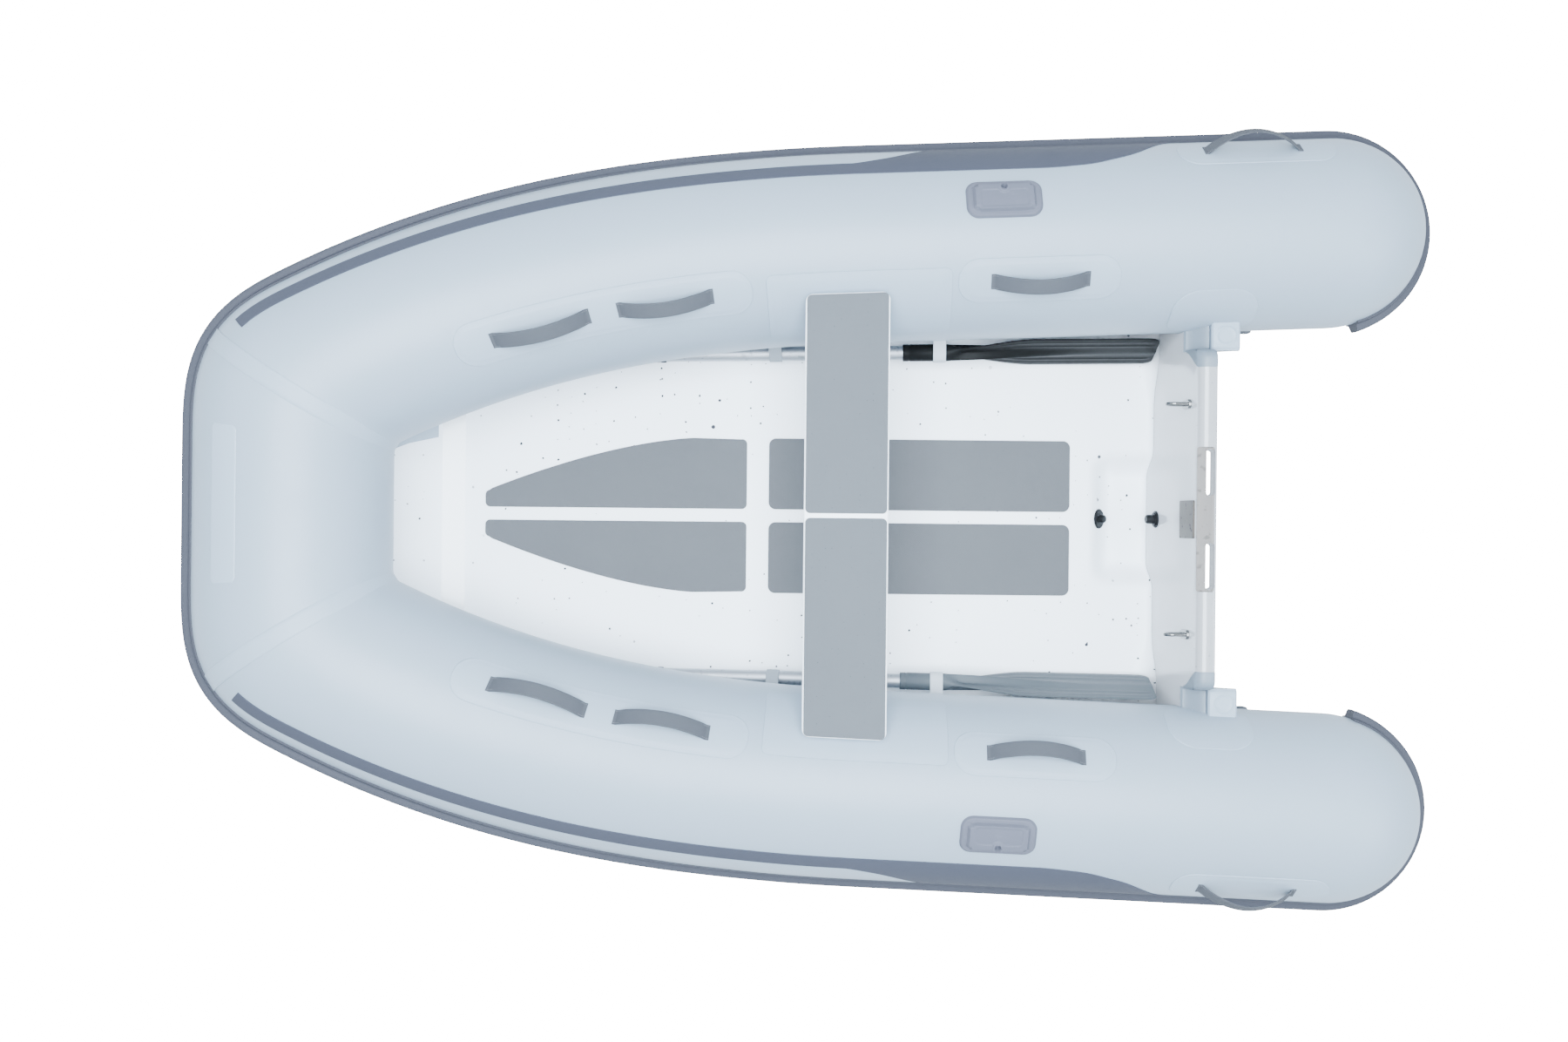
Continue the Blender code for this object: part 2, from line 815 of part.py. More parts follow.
def hull_xs():
    """Stations of the hull where its sides bend, from amidships to its nose."""
    fore_x = stem_x - hull_wall
    nose = [hull_close_x + (fore_x - hull_close_x) * s for s in (0.25, 0.5, 0.7, 0.84, 0.94, 1)]
    return spread(bend_start_x, hull_close_x, hull_stations) + nose


def deck_xs():
    """The hull's stations that the deck shares, and its front end."""
    return [x for x in hull_xs() if x < bow_deck_top_x] + [bow_deck_top_x]


def make_hull(collar):
    """A V bottom with a saddle along each edge and a hollow bilge."""
    half = hull_half_section(transom_foot_x)
    rings = [whole_section(half, lambda z: transom_x(z) + fit_gap)]
    rings += [whole_section(hull_half_section(x), lambda z, x=x: x) for x in hull_xs()]
    hull = loft("hull_shell", rings, "gelcoat")
    well = []
    for x in [transom_foot_x - cut_overrun * 2] + deck_xs() + [stem_x - stem_wall]:
        wall, floor, top = max(shoulder_y(x), stem_wall / 3), bed_z(x), centre_z(x) + fit_gap
        well.append(whole_section([(0, floor), (wall, floor), (wall, top), (0, top)], lambda z, x=x: x))
    shape_with(hull, loft("cockpit_cutter", well, None))
    shape_with(hull, collar)
    shape_with(hull, bilge("bilge_cutter", 0, -cut_overrun * 2))
    strip_edge = keel_strip_width / 2
    nose = keel_rise_x - keel_strip_width
    outline = [(keel_strip_aft_x, -strip_edge), (nose, -strip_edge)]
    outline += [(nose + strip_edge * math.sin(t), -strip_edge * math.cos(t))
                for t in spread(0, math.pi, 9)[1:-1]]
    outline += [(nose, strip_edge), (keel_strip_aft_x, strip_edge)]
    prism("keel_strip", outline, 0, keel_strip_thickness, "keel rubber")


def bilge(name, clearance, aft_reach):
    """The hollow between hull and deck, drawn in by a clearance on every side."""
    rings = []
    aft_x = transom_foot_x + aft_reach
    for x in [aft_x] + spread(bend_start_x, bilge_fore_x, 5)[:-1] + [bilge_fore_x - clearance]:
        half = hull_half_section(x)
        (flat, keel), (edge_y, edge_z) = half[1], half[2]
        rise = hull_wall + clearance
        steepness = (edge_z - keel) / (edge_y - flat)
        ceiling_y = flat + (bed_z(x) - hull_wall * 2 - keel) / steepness
        side_y = min(shoulder_y(x) - bilge_ledge, ceiling_y) - clearance
        side_z = keel + (side_y - flat) * steepness
        top = bed_z(x) + (cut_overrun if clearance == 0 else -clearance)
        section = [(0, keel + rise), (flat, keel + rise), (side_y, side_z + rise), (side_y, top), (0, top)]
        rings.append(whole_section(section, lambda z, x=x: x))
    return hide_cutter(loft(name, rings, None, split=True))


def make_frames():
    """Cross frames and stringers: a solid with the shape of the bilge, less a cell between each two."""
    half = frame_plate / 2
    middle = frame_half_length * frame_middle_share
    cross = (-frame_half_length, -middle, middle, frame_half_length)
    edge = tube_spread_width
    lanes = ((-edge, -stringer_y - half), (-stringer_y + half, stringer_y - half), (stringer_y + half, edge))
    ends = ((transom_foot_x - cut_overrun, cross[0] - half), (cross[-1] + half, bow_centre_x))
    cells = [(a + half, b - half, low, high) for a, b in zip(cross, cross[1:]) for low, high in lanes]
    cells += [(a, b, -edge, edge) for a, b in ends]
    points, faces = [], []
    for a, b, low, high in cells:
        outline = ((a, low), (b, low), (b, high), (a, high))
        first = len(points)
        points += [Vector((x, y, z)) for z in (-deck_height, deck_height * 2) for x, y in outline]
        faces += grid_faces(2, 4, closed_columns=True, first=first)
        faces += [[first + k for k in range(4)], [first + 4 + k for k in range(4)]]
    frames = bilge("hull_frames", fit_gap, fit_gap)
    frames.hide_render = False
    frames.display_type = "TEXTURED"
    frames.data.materials.append(paints["raw laminate"])
    shape_with(frames, add_object("frame_cell_cutter", points, faces, None))


def deck_top(x, y):
    """Height of the deck's upper face: flat, up at the bow, and down into the sump."""
    fall = min(max((sump_fore_x - x) / sump_face_run, 0), 1)
    side_fall = min(max((sump_half_width - abs(y)) / sump_side_run, 0), 1)
    return bed_z(x) + fit_gap + deck_thickness - sump_depth * min(fall, side_fall)


def make_deck():
    sump_floor_y = sump_half_width - sump_side_run
    xs = [transom_foot_x + fit_gap, sump_fore_x - sump_face_run, sump_fore_x]
    xs += deck_xs()
    top, bottom = [], []
    for i, x in enumerate(xs):
        edge = shoulder_y(x) - fit_gap
        squeeze = min(edge / (shoulder_y(sump_fore_x) - fit_gap), 1)
        ys = [edge, sump_half_width * squeeze, sump_floor_y * squeeze, 0]
        ys += [-y for y in reversed(ys[:-1])]
        for grid, drop in ((top, 0), (bottom, deck_thickness)):
            zs = [deck_top(x, y) - drop for y in ys]
            row_xs = [transom_x(z) + fit_gap if i == 0 else x for z in zs]
            grid.append([Vector(point) for point in zip(row_xs, ys, zs)])
    deck = slab("deck_panel", top, bottom, "gelcoat", sharp=30)
    profile = ((0, -cut_overrun), (bung_shank_radius + fit_gap, -cut_overrun),
               (bung_shank_radius + fit_gap, cut_overrun), (0, cut_overrun))
    shape_with(deck, turned("bung_hole_cutter", profile, round_segments, None, bung_place()))


def bung_place():
    """The middle of the sump's sloping front, with +Z out of it."""
    slope = Vector((-sump_depth, 0, sump_face_run)).normalized()
    point = Vector((sump_fore_x - sump_face_run / 2, 0, deck_height - sump_depth / 2))
    return axis_place(point, slope)


def make_bung():
    profile = ((0, -bung_shank), (bung_shank_radius * 0.9, -bung_shank),
               (bung_shank_radius, -bung_shank / 2),
               (bung_shank_radius, fit_gap), (bung_flange_radius, fit_gap),
               (bung_flange_radius, bung_flange * 0.6), (bung_flange_radius * 0.9, bung_flange),
               (bung_knob_radius, bung_flange), (bung_knob_radius, bung_flange + bung_knob * 0.8),
               (bung_knob_radius * 0.8, bung_flange + bung_knob), (0, bung_flange + bung_knob))
    place = bung_place()
    bung = turned("hull_drain_bung", profile, round_segments, "drain rubber", Matrix.Identity(4))
    bung.matrix_basis = place


def make_deck_pads():
    low, high = deck_height + fit_gap, deck_height + fit_gap + pad_thickness
    aft = [(aft_pad_fore_x, pad_gap_half), (aft_pad_fore_x, pad_outer_y),
           (aft_pad_aft_x, pad_outer_y), (aft_pad_aft_x, pad_gap_half)]
    curve = []
    for share in spread(0, 1, 9)[1:-1]:
        x = fore_pad_full_x + (fore_pad_tip_x - fore_pad_full_x) * share
        draw_in = (pad_outer_y - fore_pad_tip_y) * share ** fore_pad_power
        curve.append((x, pad_outer_y - draw_in))
    ends = [(fore_pad_tip_x, fore_pad_tip_y), (fore_pad_tip_x, pad_gap_half),
            (fore_pad_aft_x, pad_gap_half), (fore_pad_aft_x, pad_outer_y)]
    rounded = round_corners(ends, pad_corner / 2)
    fore = curve + rounded
    for name, side in SIDES.items():
        prism(f"deck_pad_aft_{name}", round_corners(aft, pad_corner), low, high, "deck pad foam", side)
        prism(f"deck_pad_forward_{name}", fore, low, high, "deck pad foam", side)


def box(name, low, high, material=None, carrier=None):
    outline = [(low[0], low[1]), (high[0], low[1]), (high[0], high[1]), (low[0], high[1])]
    return prism(name, outline, low[2], high[2], material, carrier=carrier)


def slot_outline(grow=0):
    """Outline of the port hand slot in the transom's top."""
    aft_x = transom_x(transom_height, transom_thickness) + recess_skin - grow
    fore_x = aft_x + slot_width + 2 * grow
    corners = [(aft_x, slot_inner_y - grow), (fore_x, slot_inner_y - grow),
               (fore_x, slot_outer_y + grow), (aft_x, slot_outer_y + grow)]
    return round_corners(corners, slot_width / 2 * 0.98, steps=5)


def make_transom(collar):
    """A raked board with a recessed top, two hand slots and a drain."""
    section = hull_half_section(transom_foot_x)
    half = section[:4] + [(section[3][0], transom_step_height),
                          (transom_top_half, transom_step_height),
                          (transom_top_half, transom_height - transom_corner),
                          (transom_top_half - transom_corner, transom_height), (0, transom_height)]
    rings = [whole_section(half, lambda z: transom_x(z)),
             whole_section(half, lambda z: transom_x(z, transom_thickness))]
    board = loft("transom_panel", rings, "gelcoat")
    shape_with(board, collar)
    floor = transom_height - recess_depth
    skin_x = transom_x(transom_height, transom_thickness) + recess_skin
    fore_x = transom_x(floor)
    recess = box("recess_cutter", (skin_x, -recess_half, floor),
                 (fore_x + cut_overrun, recess_half, transom_height + cut_overrun))
    shape_with(board, recess)
    liner_low = floor + fit_gap
    liner = box("transom_top_plate", (skin_x + fit_gap, -recess_half + fit_gap, liner_low),
                (fore_x - fit_gap, recess_half - fit_gap, liner_low + liner_thickness), "transom steel")
    for name, side in SIDES.items():
        low = tube_centre_height - tube_radius
        cutter = prism(f"slot_cutter_{name}", slot_outline(), low, transom_height + cut_overrun, None, side)
        shape_with(board, cutter)
        shape_with(liner, cutter)
    profile = ((0, -cut_overrun), (drain_barrel_radius + fit_gap, -cut_overrun),
               (drain_barrel_radius + fit_gap, transom_thickness + cut_overrun),
               (0, transom_thickness + cut_overrun))
    place = raked_place(drain_height, 0) @ Matrix.Rotation(math.pi, 4, "X")
    shape_with(board, turned("drain_hole_cutter", profile, round_segments, None, place))


def raked_place(height, y, off=0):
    """A point on the transom's inner face, with +Z into the boat and +Y to port."""
    inward = Vector((math.cos(transom_rake), 0, math.sin(transom_rake)))
    point = Vector((transom_x(height), y, height)) + inward * off
    turn = Matrix.Rotation(math.pi / 2 - transom_rake, 4, "Y")
    return Matrix.Translation(point) @ turn


def make_motor_pads():
    half_w, half_t = motor_pad_width / 2, motor_pad_tall / 2
    outline = round_corners([(-half_t, -half_w), (half_t, -half_w), (half_t, half_w), (-half_t, half_w)],
                            motor_pad_thickness)
    inner = prism("motor_pad_inner", outline, fit_gap, fit_gap + motor_pad_thickness, "transom steel")
    inner.matrix_basis = raked_place(motor_pad_height, 0)
    low = -transom_thickness - fit_gap - motor_pad_thickness
    outer = prism("motor_pad_outer", outline, low, low + motor_pad_thickness, "transom steel")
    outer.matrix_basis = raked_place(motor_pad_height, 0)


def make_gussets():
    """Moulded corners that join the top of the transom to the tubes."""
    xs = spread(gusset_fore_x, gusset_aft_x, 3)
    zs = spread(gusset_low, gusset_high, 5)
    inner = [[Vector((x, transom_top_half + fit_gap, z)) for z in zs] for x in xs]
    outer = []
    for x in xs:
        row = []
        for z in zs:
            piece = side_slice(x)
            chord = math.sqrt((tube_radius + glue_line) ** 2 - (z - piece.centre.z) ** 2)
            row.append(Vector((x, piece.centre.y - chord / piece.out.y - fit_gap, z)))
        outer.append(row)
    for name, side in SIDES.items():
        slab(f"transom_gusset_{name}", inner, outer, "tube fabric", side, sharp=50)


def make_drain():
    bore, barrel = drain_bore_radius, drain_barrel_radius
    deep = -transom_thickness
    fitting = ((bore, deep), (barrel, deep), (barrel, fit_gap), (drain_flange_radius, fit_gap),
               (drain_flange_radius, drain_flange * 0.6), (drain_flange_radius * 0.93, drain_flange),
               (bore, drain_flange))
    ring = turned("transom_drain_fitting", fitting, round_segments, "drain plastic", Matrix.Identity(4))
    ring.matrix_basis = raked_place(drain_height, 0)
    face = drain_flange + fit_gap
    rim = face + drain_flange / 2
    shank = bore - fit_gap
    plug = ((0, -drain_shank), (shank * 0.9, -drain_shank), (shank, -drain_shank * 0.9), (shank, face),
            (drain_cap_rim, face), (drain_cap_rim, rim), (drain_knob_radius, rim),
            (drain_knob_radius, rim + drain_knob_length * 0.8),
            (drain_knob_radius * 0.8, rim + drain_knob_length), (0, rim + drain_knob_length))
    stopper = turned("transom_drain_plug", plug, round_segments, "drain plastic", Matrix.Identity(4))
    stopper.matrix_basis = raked_place(drain_height, 0)


def bar_along(path, radius, sides, name, carrier=None):
    """A round bar bent along a flat path in the local XZ plane."""
    rings = []
    for k, point in enumerate(path):
        before, after = path[max(k - 1, 0)], path[min(k + 1, len(path) - 1)]
        ahead = (after - before).normalized()
        side_way = Vector((0, 1, 0))
        out = ahead.cross(side_way)
        rings.append([point + (side_way * math.cos(t) + out * math.sin(t)) * radius
                      for t in [math.tau * i / sides for i in range(sides)]])
    return loft(name, rings, "marine steel", carrier=carrier, sharp=60)


def eye_path(reach, loop):
    """A horseshoe in the XZ plane: two legs from the plate and a round end."""
    sink = -eye_plate * 0.4
    legs = reach - loop
    arc = [Vector((loop * math.cos(t), 0, legs + loop * math.sin(t))) for t in spread(0, math.pi, 9)]
    return [Vector((loop, 0, sink))] + arc + [Vector((-loop, 0, sink))]


def make_eyes():
    """Bent round bar on a foot: two on the transom and one on the stem."""
    loop, foot = eye_loop_radius, eye_plate_radius
    for name, side in SIDES.items():
        corners = [(-loop - foot / 2, -foot * 0.8), (loop + foot / 2, -foot * 0.8),
                   (loop + foot / 2, foot * 0.8), (-loop - foot / 2, foot * 0.8)]
        plate = prism(f"lifting_eye_{name}", round_corners(corners, foot * 0.7), fit_gap,
                      fit_gap + eye_plate, "marine steel")
        bar = bar_along([p + UP * eye_plate for p in eye_path(eye_reach - eye_plate, loop)],
                        eye_bar_radius, 8, f"eye_bar_{name}")
        for piece in (plate, bar):
            piece.matrix_basis = raked_place(eye_height, eye_y * side)
        shape_with(plate, bar, "UNION")
    rise = keel_z(tow_eye_x + eye_loop_radius) - keel_z(tow_eye_x - eye_loop_radius)
    slope = rise / (2 * eye_loop_radius)
    down = Vector((slope, 0, -1)).normalized()
    along = Vector((1, 0, slope)).normalized()
    turn = Matrix((along, Vector((0, 1, 0)), along.cross(Vector((0, 1, 0))))).transposed()
    if turn.col[2].dot(down) < 0:
        turn = Matrix((along, Vector((0, -1, 0)), along.cross(Vector((0, -1, 0))))).transposed()
    place = Matrix.Translation(Vector((tow_eye_x, 0, keel_z(tow_eye_x)))) @ turn.to_4x4()
    half_l, half_w = tow_plate_length / 2, tow_plate_width / 2
    corners = [(-half_l, -half_w), (half_l, -half_w), (half_l, half_w), (-half_l, half_w)]
    plate = prism("bow_tow_eye", round_corners(corners, half_w * 0.6), fit_gap, fit_gap + eye_plate,
                  "marine steel")
    path = [p + UP * eye_plate for p in eye_path(eye_reach, loop)]
    bar = bar_along(path, eye_bar_radius, 8, "tow_eye_bar")
    for piece in (plate, bar):
        piece.matrix_basis = place
    shape_with(plate, bar, "UNION")


# Seat

def seat_outline(inset, corner):
    """The seat from above, as corners with its ends slanted along the tubes."""
    fore, aft = seat_fore_x - inset, seat_aft_x + inset
    return round_corners([(fore, -seat_half_fore + inset), (fore, seat_half_fore - inset),
                          (aft, seat_half_aft - inset), (aft, -seat_half_aft + inset)], corner)


def make_seat():
    """A folded bench with bull-nosed edges, open underneath, and its two pads."""
    low, nose = seat_top - seat_depth, seat_nose

    def ring(inset, z):
        return [Vector((x, y, z)) for x, y in seat_outline(inset, max(seat_corner - inset, seat_wall))]

    nose_turns = spread(0, math.pi / 2, 3)
    rings = [ring(nose * (1 - math.cos(t)), seat_top - nose + nose * math.sin(t))
             for t in reversed(nose_turns)]
    rings += [ring(0, low), ring(seat_wall, low), ring(seat_wall, seat_top - nose),
              ring(nose, seat_top - seat_wall)]
    loft("seat_bench", rings, "seat coating")
    pad_low = seat_top + fit_gap
    fore, aft = seat_fore_x - seat_pad_inset, seat_aft_x + seat_pad_inset
    corners = [(fore, seat_pad_half_gap), (fore, seat_half_fore - seat_pad_inset),
               (aft, seat_half_aft - seat_pad_inset), (aft, seat_pad_half_gap)]
    outline = round_corners(corners, seat_pad_corner)
    xs = spread(seat_fore_x - saddle_end_inset, seat_aft_x + saddle_end_inset, 3)
    ys = spread(saddle_inner_y, saddle_outer_y, 5)
    base = glue_line + patch_thickness * patch_sink_share
    points, faces = rounded_patch(seat_patch_fore_x, seat_patch_aft_x, seat_patch_low, seat_patch_high,
                                  seat_corner, glue_line, patch_thickness, steps=7)
    for name, side in SIDES.items():
        prism(f"seat_pad_{name}", outline, pad_low, pad_low + seat_pad_thickness, "seat pad foam", side)
        top = [[Vector((x, y, low - fit_gap)) for y in ys] for x in xs]
        bottom = []
        for x in xs:
            piece = side_slice(x)
            row = []
            for y in ys:
                away = (piece.centre.y - y) * piece.out.y
                row.append(Vector((x, y, piece.centre.z + math.sqrt((tube_radius + base) ** 2 - away ** 2))))
            bottom.append(row)
        wedge = slab(f"seat_wedge_{name}", top, bottom, None, side)
        shape_with(add_object(f"seat_saddle_{name}", points, faces, "tube fabric", side), wedge, "UNION")


# Oars

def oar_frame(name, side):
    """The empty on an oar's own axis: +X runs from the blade to the grip."""
    empty = bpy.data.objects.new(f"{name}_oar_axis", None)
    bpy.context.collection.objects.link(empty)
    empty.parent = boat
    turn = Matrix.Rotation(-oar_yaw * side, 4, "Z") @ Matrix.Rotation(oar_pitch, 4, "Y")
    lean = Matrix.Rotation(-oar_lean * side, 4, "X")
    place = Matrix.Translation(Vector((oar_neck_x, oar_neck_y * side, oar_neck_z)))
    empty.matrix_basis = place @ turn @ lean
    return empty


def along_x(profile, segments):
    """A profile of (radius, distance) pairs turned about +X."""
    return turned_mesh(profile, segments, Matrix.Rotation(math.pi / 2, 4, "Y"))


def blade_rings(neck):
    """Closed sections from the socket's mouth to the blade's tip, with a spine and two ribs."""
    widths = (-1, -0.6, -0.5, -0.4, -0.2, 0, 0.2, 0.4, 0.5, 0.6, 1)
    rib_shares = {0.5: 1}
    stations = (0, 0.04, 0.1, 0.2, 0.32, 0.5, 0.75, 0.94, 0.98, 1)
    turns = [math.pi * (1 - (j + 0.5) / len(widths)) for j in range(len(widths))]
    lip = strap_thickness

    def section(x, face):
        return [Vector((x, t, w)) for w, t in face] + [Vector((x, -t, w)) for w, t in reversed(face)]

    def round_face(radius):
        return [(radius * math.cos(t), radius * math.sin(t)) for t in turns]

    rings = [section(neck + oar_socket_length, round_face(oar_socket_radius - lip / 2)),
             section(neck + oar_socket_length - lip, round_face(oar_socket_radius))]
    for share in stations:
        grow = smooth(share / 0.42)
        half_width = oar_socket_radius + (blade_half_width - oar_socket_radius) * grow
        if share > 0.94:
            round_off = (share - 0.94) / 0.06
            half_width *= 1 - 0.22 * (1 - math.sqrt(max(1 - round_off ** 2, 0)))
        spine = oar_socket_radius + (blade_tip_half - oar_socket_radius) * smooth(share / 0.8)
        flat = smooth(share / 0.1)
        face = []
        for w, (round_w, round_t) in zip(widths, round_face(oar_socket_radius)):
            plate = blade_edge + (spine - blade_edge) * smooth(1 - abs(w) / 0.35)
            plate += blade_rib * rib_shares.get(abs(w), 0) * smooth((share - 0.2) / 0.15)
            if abs(w) == 1:
                plate = blade_edge / 2
            face.append((round_w + (w * half_width - round_w) * flat, round_t + (plate - round_t) * flat))
        rings.append(section(neck - blade_length * share, face))
    return rings


def make_oars():
    grip_end = oar_grip_reach
    bore = oar_shaft_radius + fit_gap
    neck = oar_neck_start()
    for name, side in SIDES.items():
        axis = oar_frame(name, side)
        shaft_fore = grip_end - oar_grip_length * 0.15
        shaft_aft = neck + oar_socket_length - oar_socket_bore + fit_gap
        points, faces = along_x(((0, shaft_aft), (oar_shaft_radius, shaft_aft),
                                 (oar_shaft_radius, shaft_fore), (0, shaft_fore)), round_segments)
        add_object(f"oar_shaft_{name}", points, faces, "oar aluminium", carrier=axis)
        grip_start = grip_end - oar_grip_length
        inner_end = shaft_fore + fit_gap
        swell = oar_grip_radius
        points, faces = along_x(((0, inner_end), (bore, inner_end), (bore, grip_start),
                                 (swell * 0.96, grip_start), (swell, grip_start + oar_grip_length * 0.08),
                                 (swell * 0.93, grip_start + oar_grip_length * 0.45),
                                 (swell, grip_start + oar_grip_length * 0.85),
                                 (swell * 0.85, grip_end), (0, grip_end)), round_segments)
        add_object(f"oar_grip_{name}", points, faces, "oar plastic", carrier=axis)
        blade = loft(f"oar_blade_{name}", blade_rings(neck), "oar plastic", carrier=axis, sharp=50)
        socket_end = neck + oar_socket_length
        points, faces = along_x(((0, socket_end - oar_socket_bore), (bore, socket_end - oar_socket_bore),
                                 (bore, socket_end + cut_overrun), (0, socket_end + cut_overrun)),
                                round_segments)
        hole = add_object(f"oar_bore_cutter_{name}", points, faces, None, carrier=axis)
        shape_with(blade, hole)


def oar_neck_start():
    """Where the blade starts to flare, measured along the oar from the strap round its neck."""
    return -oar_tip_reach + blade_length


def oar_point(distance):
    """A point on the port oar's axis, and the direction of that axis towards the grip."""
    turn = Matrix.Rotation(-oar_yaw, 4, "Z") @ Matrix.Rotation(oar_pitch, 4, "Y")
    ahead = turn @ Vector((1, 0, 0))
    return Vector((oar_neck_x, oar_neck_y, oar_neck_z)) + ahead * distance, ahead


def strap_meshes(distance, radius):
    """A teardrop loop of webbing round an oar, and the plate that bonds it to the tube."""
    middle, ahead = oar_point(distance)
    piece = side_slice(middle.x)
    anchor = piece.at(strap_anchor_angle, glue_line + strap_thickness)
    to_anchor = anchor - middle
    to_anchor -= ahead * to_anchor.dot(ahead)
    reach = to_anchor.length
    up_way = to_anchor.normalized()
    side_way = ahead.cross(up_way)
    loop_radius = radius + strap_clearance
    wrap = math.acos(min(loop_radius / reach, 1)) * 0.9
    rows_in, rows_out = [], []
    for share in (-0.5, 0.5):
        base = middle + ahead * strap_width * share
        inner, outer = [], []
        for t in spread(wrap, math.tau - wrap, 12):
            way = up_way * math.cos(t) + side_way * math.sin(t)
            inner.append(base + way * loop_radius)
            outer.append(base + way * (loop_radius + strap_thickness))
        lip = strap_thickness * 1.2
        tip_in = base + up_way * (reach - lip * 1.5)
        tip_out = base + up_way * (reach - lip * 0.2)
        inner.append(tip_in - side_way * lip * 0.2)
        outer.append(tip_out - side_way * lip)
        inner.append(tip_in + side_way * lip * 0.2)
        outer.append(tip_out + side_way * lip)
        rows_in.append(inner)
        rows_out.append(outer)
    count = len(rows_in[0])
    points = rows_out[0] + rows_out[1] + rows_in[1] + rows_in[0]
    faces = grid_faces(4, count, closed_rows=True, closed_columns=True)
    half_plate = strap_plate_length / 2
    xs = spread(middle.x + half_plate, middle.x - half_plate, 2)
    slices = [side_slice(x) for x in xs]
    low = [strap_anchor_angle - strap_plate_span] * 2
    high = [strap_anchor_angle + strap_plate_span] * 2
    plate = skin_slab(slices, low, high, 3, glue_line, strap_thickness)
    return (points, faces), plate


def make_straps():
    aft = strap_meshes(0, oar_socket_radius)
    fore_distance = (fore_strap_x - oar_neck_x) / (math.cos(oar_yaw) * math.cos(oar_pitch))
    fore = strap_meshes(fore_distance, oar_shaft_radius)
    for label, (loop, plate) in (("aft", aft), ("forward", fore)):
        for name, side in SIDES.items():
            strap = add_object(f"oar_strap_{label}_{name}", *loop, "strap webbing", side, sharp=50)
            shape_with(strap, add_object(f"strap_plate_{label}_{name}", *plate, None, side), "UNION")


# Inflation valves

def valve_places():
    """Each valve's place: +Z straight out of the tube's skin."""
    places = {}
    tail, bow = side_slice(valve_x), bow_slice(bow_valve_y)
    for name, side in SIDES.items():
        point, way = tail.at(valve_angle), tail.normal(valve_angle)
        mirror = Vector((1, side, 1))
        places[name] = axis_place(point * mirror, way * mirror)
    places["bow"] = axis_place(bow.at(bow_valve_angle), bow.normal(bow_valve_angle))
    return places


def make_valves():
    """A barrel sunk in each tube, a sprung stem in its guide, and a turning cap."""
    skin = glue_line
    face = skin + valve_flange
    floor = -valve_bore
    body = ((0, floor - valve_guide), (valve_guide_radius, floor - valve_guide), (valve_guide_radius, floor),
            (valve_bore_radius, floor), (valve_bore_radius, face), (valve_flange_radius * 0.95, face),
            (valve_flange_radius, skin + valve_flange * 0.6), (valve_flange_radius, skin),
            (valve_barrel_radius, skin), (valve_barrel_radius, -valve_barrel), (0, -valve_barrel))
    head_low = -valve_stem_top - valve_stem_head
    stem = ((0, head_low - valve_stem_length), (valve_stem_radius, head_low - valve_stem_length),
            (valve_stem_radius, head_low), (valve_stem_head_radius, head_low),
            (valve_stem_head_radius, -valve_stem_top), (0, -valve_stem_top))
    cap_low = face + fit_gap
    plug_radius = valve_bore_radius * math.cos(math.pi / small_segments) - fit_gap
    cap = ((0, cap_low - valve_cap_plug), (plug_radius, cap_low - valve_cap_plug), (plug_radius, cap_low),
           (valve_cap_radius, cap_low), (valve_cap_radius, cap_low + valve_cap_height * 0.8),
           (valve_cap_radius * 0.93, cap_low + valve_cap_height), (0, cap_low + valve_cap_height))
    plate, grip_half = valve_cap_height / 2, valve_cap_radius * 0.8
    pocket = ((0, -valve_barrel - fit_gap), (valve_barrel_radius + fit_gap, -valve_barrel - fit_gap),
              (valve_barrel_radius + fit_gap, cut_overrun), (0, cut_overrun))
    for name, place in valve_places().items():
        turned(f"valve_body_{name}", body, small_segments, "valve plastic", place)
        tube = bpy.data.objects[f"{name}_tube"]
        shape_with(tube, turned(f"valve_pocket_cutter_{name}", pocket, small_segments, None, place))
        for label, profile in (("cap", cap), ("stem", stem)):
            piece = turned(f"valve_{label}_{name}", profile, small_segments, "valve plastic",
                           Matrix.Identity(4))
            piece.matrix_basis = place
            if label == "cap":
                grip = box(f"valve_cap_bar_{name}", (-grip_half, -valve_cap_bar_half_width, cap_low + plate),
                           (grip_half, valve_cap_bar_half_width, cap_low + valve_cap_height + valve_cap_bar))
                grip.matrix_basis = place
                shape_with(piece, grip, "UNION")


def clear_scene():
    for item in list(bpy.data.objects):
        bpy.data.objects.remove(item, do_unlink=True)


clear_scene()
boat = bpy.data.objects.new("boat", None)
bpy.context.collection.objects.link(boat)

paint("tube fabric", (0.60, 0.66, 0.72), 0.55)
paint("strake rubber", (0.24, 0.27, 0.33), 0.55)
paint("stripe fabric", (0.26, 0.30, 0.38), 0.5)
paint("webbing", (0.31, 0.35, 0.41), 0.7)
paint("strap webbing", (0.55, 0.58, 0.64), 0.7)
paint("oarlock rubber", (0.40, 0.42, 0.49), 0.5)
paint("gelcoat", (0.90, 0.91, 0.92), 0.25)
paint("raw laminate", (0.60, 0.60, 0.55), 0.7)
paint("keel rubber", (0.20, 0.21, 0.23), 0.7)
paint("deck pad foam", (0.36, 0.40, 0.44), 0.8)
paint("seat pad foam", (0.40, 0.44, 0.48), 0.8)
paint("seat coating", (0.85, 0.88, 0.91), 0.35)
paint("transom steel", (0.45, 0.46, 0.46), 0.35, 1.0)
paint("marine steel", (0.60, 0.60, 0.58), 0.2, 1.0)
paint("drain plastic", (0.03, 0.035, 0.04), 0.4)
paint("drain rubber", (0.02, 0.02, 0.022), 0.6)
paint("oar aluminium", (0.72, 0.74, 0.77), 0.3, 1.0)
paint("oar plastic", (0.05, 0.055, 0.06), 0.5)
paint("valve plastic", (0.30, 0.33, 0.37), 0.5)

